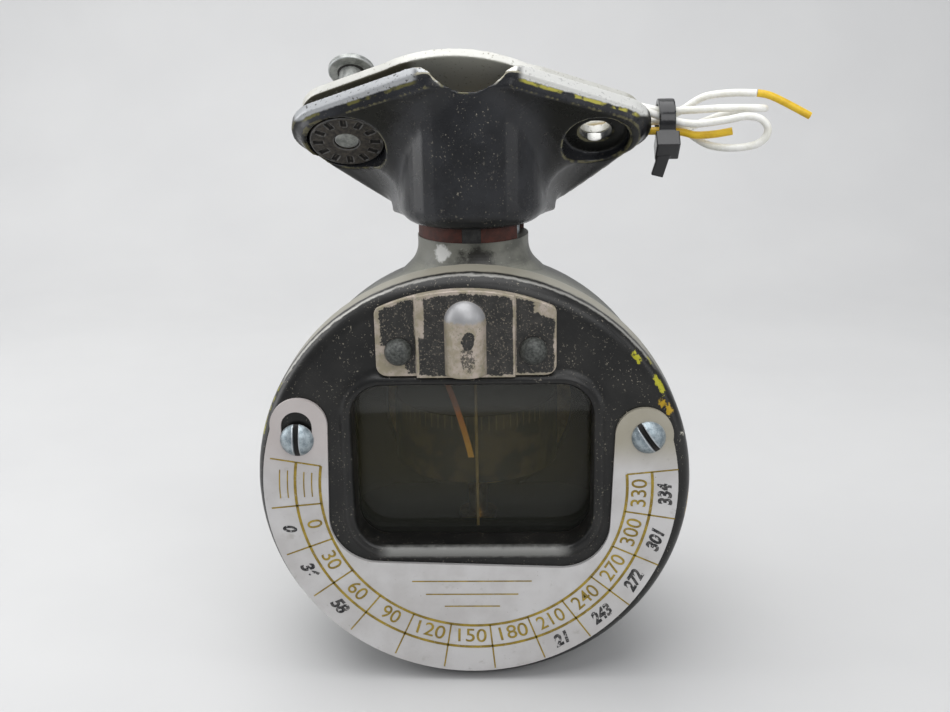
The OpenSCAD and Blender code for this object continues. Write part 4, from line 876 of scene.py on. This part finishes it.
def strip_mesh(name, lines, material):
    """Flat strips along lines of (point, half width) pairs, all facing the viewer."""
    mesh = bmesh.new()
    for line in lines:
        rows = []
        for i, (p, half) in enumerate(line):
            a, b = line[max(i - 1, 0)][0], line[min(i + 1, len(line) - 1)][0]
            along = (b - a).normalized()
            side = Vector((along.z, 0, -along.x)) * half * MM
            rows.append((mesh.verts.new(p + side), mesh.verts.new(p - side)))
        for (a, b), (c, d) in zip(rows, rows[1:]):
            mesh.faces.new((a, b, d, c))
    bmesh.ops.recalc_face_normals(mesh, faces=mesh.faces)
    for face in mesh.faces:
        if face.normal.y > 0:
            face.normal_flip()
    mark(put_mesh(name, mesh), material)


print("marks lie", MARK_LIFT, "mm above the plate")


# %% Gold ink
def gold_finish():
    material, place = new_finish("gold_ink")
    cloud, fine = noise(place, 2.2, 4), noise(place, 0.35, 2)
    colour = cloud.rise(0.35, 0.65).mix((0.2, 0.135, 0.012, 1), (0.34, 0.24, 0.02, 1))
    colour = (0.6 * fine.rise(0.6, 0.7)).mix(colour, (0.34, 0.3, 0.22, 1))
    return dress(material, {"Base Color": colour, "Roughness": 0.45 + 0.2 * (fine - 0.5),
        "Metallic": 0.15})


gold = gold_finish()
print("gold ink ready")

# %% Ruled lines
RING_OUT, RING_IN, PLATE_R = 33.76, 29.05, 38.7
FIRST, CELL, CELLS = 5.5, 15.0, 12  # the cells' first angle, width in degrees and number
ENDS = (-9.7, FIRST + CELLS * CELL)  # first and last angle of the rings
RING_HALF, SPOKE_HALF, TIP_HALF, FINE_HALF, BAR_HALF = 0.27, 0.16, 0.14, 0.12, 0.13  # half widths
FINE_ARCS, FINE_ENDS = (30.6, 32.1, 35.2, 36.7), (-6.6, 2.6)  # radii, first and last angle
BARS, BAR_X = ((-19.4, 11.6), (-22.2, 9.0), (-24.8, 5.4)), -0.6  # height and half length


def arc(r, first, last, half, steps=72):
    """A line round the rings' centre."""
    return [(on_plate(r, first + (last - first) * i / steps), half) for i in range(steps + 1)]


ruling = [arc(RING_OUT, *ENDS, RING_HALF), arc(RING_IN, *ENDS, RING_HALF)]
for angle in [ENDS[0]] + [FIRST + CELL * i for i in range(CELLS + 1)]:
    inner, outer, tip = (on_plate(r, angle) for r in (RING_IN, RING_OUT, PLATE_R))
    ruling.append([(inner, SPOKE_HALF), (outer, SPOKE_HALF)])
    ruling.append([(outer, SPOKE_HALF), (tip, TIP_HALF)])
ruling += [arc(r, *FINE_ENDS, FINE_HALF, 10) for r in FINE_ARCS]
for up, half in BARS:
    ruling.append([(Vector((BAR_X + x, MARK_Y, up - DROP)) * MM, BAR_HALF) for x in (-half, half)])
strip_mesh("gold_ruling", ruling, gold)
print(len(ruling), "ruled lines")

# %% [markdown]
# Figures are text laid on the plate, with their tops towards the rings' centre. They could stay
# text objects, but as meshes each can be squeezed to the width of its cell. The printed ones are
# upright gold, the inked ones are slanted, uneven and half worn away.

# %% Figures as meshes
DIGIT_HEIGHT = 0.73  # of a text whose size is 1


def figure(name, digits, r, angle, height, width, material, slant=0.0, tilt=0.0, swell=0.0):
    """Digits on the plate; tilt is in degrees, and swell makes their strokes thicker."""
    text = bpy.data.curves.new(name, "FONT")
    text.body = digits
    text.size = height / DIGIT_HEIGHT
    text.align_x, text.align_y = "CENTER", "CENTER"
    text.shear = slant
    text.offset = swell
    drawn = put(name, text)
    graph = bpy.context.evaluated_depsgraph_get()
    graph.update()
    data = bpy.data.meshes.new_from_object(drawn.evaluated_get(graph))
    bpy.data.objects.remove(drawn)
    xs = [v.co.x for v in data.vertices]
    squeeze = width / (max(xs) - min(xs))
    a, t = math.radians(angle), math.radians(tilt)
    inward = Vector((math.cos(a), 0, math.sin(a)))
    across = Vector((inward.z, 0, -inward.x))
    middle = on_plate(r, angle)
    for v in data.vertices:
        x, y = v.co.x * squeeze, v.co.y
        x, y = x * math.cos(t) - y * math.sin(t), x * math.sin(t) + y * math.cos(t)
        v.co = middle + (across * x + inward * y) * MM
    mark(put(name, data), material)


print("figures can be drawn")

# %% Courses and inked corrections
COURSE_R, COURSE_HEIGHT, COURSE_WIDTHS = 31.4, 3.0, (1.7, 3.7, 5.6)  # for one to three digits
INK_R, INK_HEIGHT, INK_WIDTHS = 36.3, 2.5, (1.5, 3.4, 4.6)
COURSE_STEP = 30
INKED = {0: "0", 1: "36", 2: "58", 7: "21", 8: "243", 9: "272", 10: "301", 11: "334"}


def ink_finish():
    material, place = new_finish("black_ink")
    worn = noise(place, 0.8, 4, 0.65)
    colour = worn.rise(0.4, 0.7).mix((0.01, 0.01, 0.012, 1), (0.1, 0.095, 0.09, 1))
    return dress(material, {"Base Color": colour, "Roughness": 0.6,
        "Alpha": 1 - noise(place, 0.5, 3).rise(0.55, 0.68)})


ink = ink_finish()
for i in range(CELLS):
    course = str(COURSE_STEP * i)
    figure("course_" + course, course, COURSE_R, FIRST + CELL * (i + 0.5), COURSE_HEIGHT,
        COURSE_WIDTHS[len(course) - 1], gold, swell=0.03)
for i, digits in INKED.items():
    uneven = (7 * i) % 13 - 6  # from -6 to 6 degrees, the same each time
    figure("ink_" + str(COURSE_STEP * i), digits, INK_R, FIRST + CELL * (i + 0.47), INK_HEIGHT,
        INK_WIDTHS[len(digits) - 1], ink, slant=0.25, tilt=uneven, swell=0.16)
print(CELLS, "courses and", len(INKED), "corrections lettered")

# %% [markdown]
# ## Window
# The glass is flat and dark, because the bowl behind it is black inside. Real refraction would be
# slow and grainy here, so a see-through pane with a sharp sheen lets the card, the lubber line and
# the orange strip show faintly. Its upper part is painted paler and less see-through.

# %% Glass finish
PALE_TOP_UP = (12.6, 13.4)  # the paler top starts at this height


def glass_finish():
    material, place = new_finish("window_glass")
    smear = noise(place, 9, 3)
    up = axis(place, "Z") + DROP + 0.3 * (smear - 0.5)
    paler_top = up.rise(*PALE_TOP_UP)
    colour = up.rise(-9, 3).mix((0.046, 0.048, 0.039, 1), (0.046, 0.042, 0.018, 1))
    colour = paler_top.mix(colour, (0.075, 0.075, 0.063, 1))
    return dress(material, {"Base Color": colour, "Roughness": 0.07 + 0.1 * smear.rise(0.4, 0.8),
        "Alpha": 0.28 + 0.16 * paler_top})


paint("window_glass", glass_finish())
print("glass finished")

# %% [markdown]
# The card is a stained black cup, upside down over its float, with a pale tick every five degrees
# round its wall. The strip is thin orange metal. Ticks could be flat strips as on the plate, but
# behind this glass a wave of the angle round the card is enough.

# %% Card and strip finishes
TICK_STEP, TICK_UP = 5, (7.0, 7.1)  # in degrees, and the height where ticks begin
CARD_R = (16.3, 16.6)  # the card's wall starts at this distance from its pivot


def card_finish():
    material, place = new_finish("card_marks")
    x, y, up = axis(place, "X"), axis(place, "Y"), axis(place, "Z") + DROP
    near = x.maths("PINGPONG", degrees(x, y) / TICK_STEP + 0.5, 0.5)
    tick = near.rise(0.4, 0.44) * up.rise(*TICK_UP)
    stain = noise(place, 5, 4, 0.6)
    colour = stain.rise(0.42, 0.62).mix((0.012, 0.011, 0.009, 1), (0.075, 0.055, 0.022, 1))
    colour = (tick * 0.3).mix(colour, (0.3, 0.24, 0.1, 1))
    inner = 1 - radius(x, y).rise(*CARD_R)
    return dress(material, {"Base Color": inner.mix(colour, (0.2, 0.2, 0.18, 1)),
        "Roughness": 0.6 + 0.2 * (stain - 0.5)})


def strip_finish():
    material, place = new_finish("orange_strip")
    up = axis(place, "Z") + DROP
    cloud = noise(place, 2, 3)
    colour = up.rise(2, 14).mix((0.9, 0.48, 0.05, 1), (0.62, 0.16, 0.015, 1))
    return dress(material, {"Base Color": (0.3 * cloud).mix(colour, (0.3, 0.12, 0.01, 1)),
        "Roughness": 0.5 + 0.2 * (cloud - 0.5)})


paint("card_dial", card_finish())
paint("pointer_strip", strip_finish())
print("card and strip finished")

# %% [markdown]
# ## Floor and light
# A pale floor that curves up behind the compass stands for a studio sweep. A flat floor would
# show its far edge, and the curve has none.

# %% Floor
FLOOR_GAP = 0.0002
FLOOR_HALF, FLOOR_FRONT, SWEEP_Y, SWEEP_R, SWEEP_TOP = 1.2, -0.6, 0.25, 0.2, 0.9  # in metres


def studio_floor():
    low = solid_box[0][2] - FLOOR_GAP
    bends = [math.radians(a) for a in range(0, 91, 10)]
    line = [(FLOOR_FRONT, 0)]
    line += [(SWEEP_Y + SWEEP_R * math.sin(a), SWEEP_R - SWEEP_R * math.cos(a)) for a in bends]
    line += [(SWEEP_Y + SWEEP_R, SWEEP_TOP)]
    mesh = bmesh.new()
    rows = [[mesh.verts.new((x, y, low + z)) for x in (-FLOOR_HALF, FLOOR_HALF)] for y, z in line]
    for (a, b), (c, d) in zip(rows, rows[1:]):
        mesh.faces.new((a, b, d, c)).smooth = True
    floor = put_mesh("studio_floor", mesh)
    material, place = new_finish("floor_pale")
    floor.data.materials.append(dress(material, {
        "Base Color": noise(place, 60, 3).mix((0.52, 0.52, 0.52, 1), (0.58, 0.58, 0.575, 1)),
        "Roughness": 0.8}))


studio_floor()
print("floor laid at", round(solid_box[0][2], 4), "m")

# %% [markdown]
# One lamp would leave hard shadows. A soft panel above, one in front, two narrow ones at the sides
# for the sheen of the boss, and an even sky light the compass plainly, so that colours come out
# as written.

# %% Light
PANELS = (  # name, place and aim in metres, width and height, watts
    ("top_panel", (-0.06, -0.02, 0.52), (0, 0, -0.05), (0.8, 0.6), 4.4),
    ("front_panel", (0.25, -0.6, 0.35), (0, 0, -0.05), (0.5, 0.4), 1.7),
    ("left_panel", (-0.48, 0.02, 0.1), (0, 0, -0.02), (0.26, 0.4), 1.1),
    ("right_panel", (0.5, -0.2, 0.1), (0, 0, -0.02), (0.16, 0.4), 0.35),
)
SKY_COLOUR, SKY_STRENGTH = (0.9, 0.93, 1.0, 1), 0.32

for name, place, aim, size, watts in PANELS:
    light = bpy.data.lights.new(name, "AREA")
    light.shape = "RECTANGLE"
    light.size, light.size_y = size
    light.energy = watts
    lamp = put(name, light)
    lamp.location = place
    lamp.rotation_euler = (Vector(aim) - Vector(place)).to_track_quat("-Z", "Y").to_euler()
world = bpy.data.worlds.new("even_sky")
world.use_nodes = True
sky = world.node_tree.nodes["Background"].inputs
sky["Color"].default_value = SKY_COLOUR
sky["Strength"].default_value = SKY_STRENGTH
bpy.context.scene.world = world
bpy.context.scene.view_settings.view_transform = "Standard"
print(len(PANELS), "panels and an even sky")

# %% [markdown]
# ## Sizes
# Finishes and softened copies must not outgrow the solids.

# %% The end
print("the end")
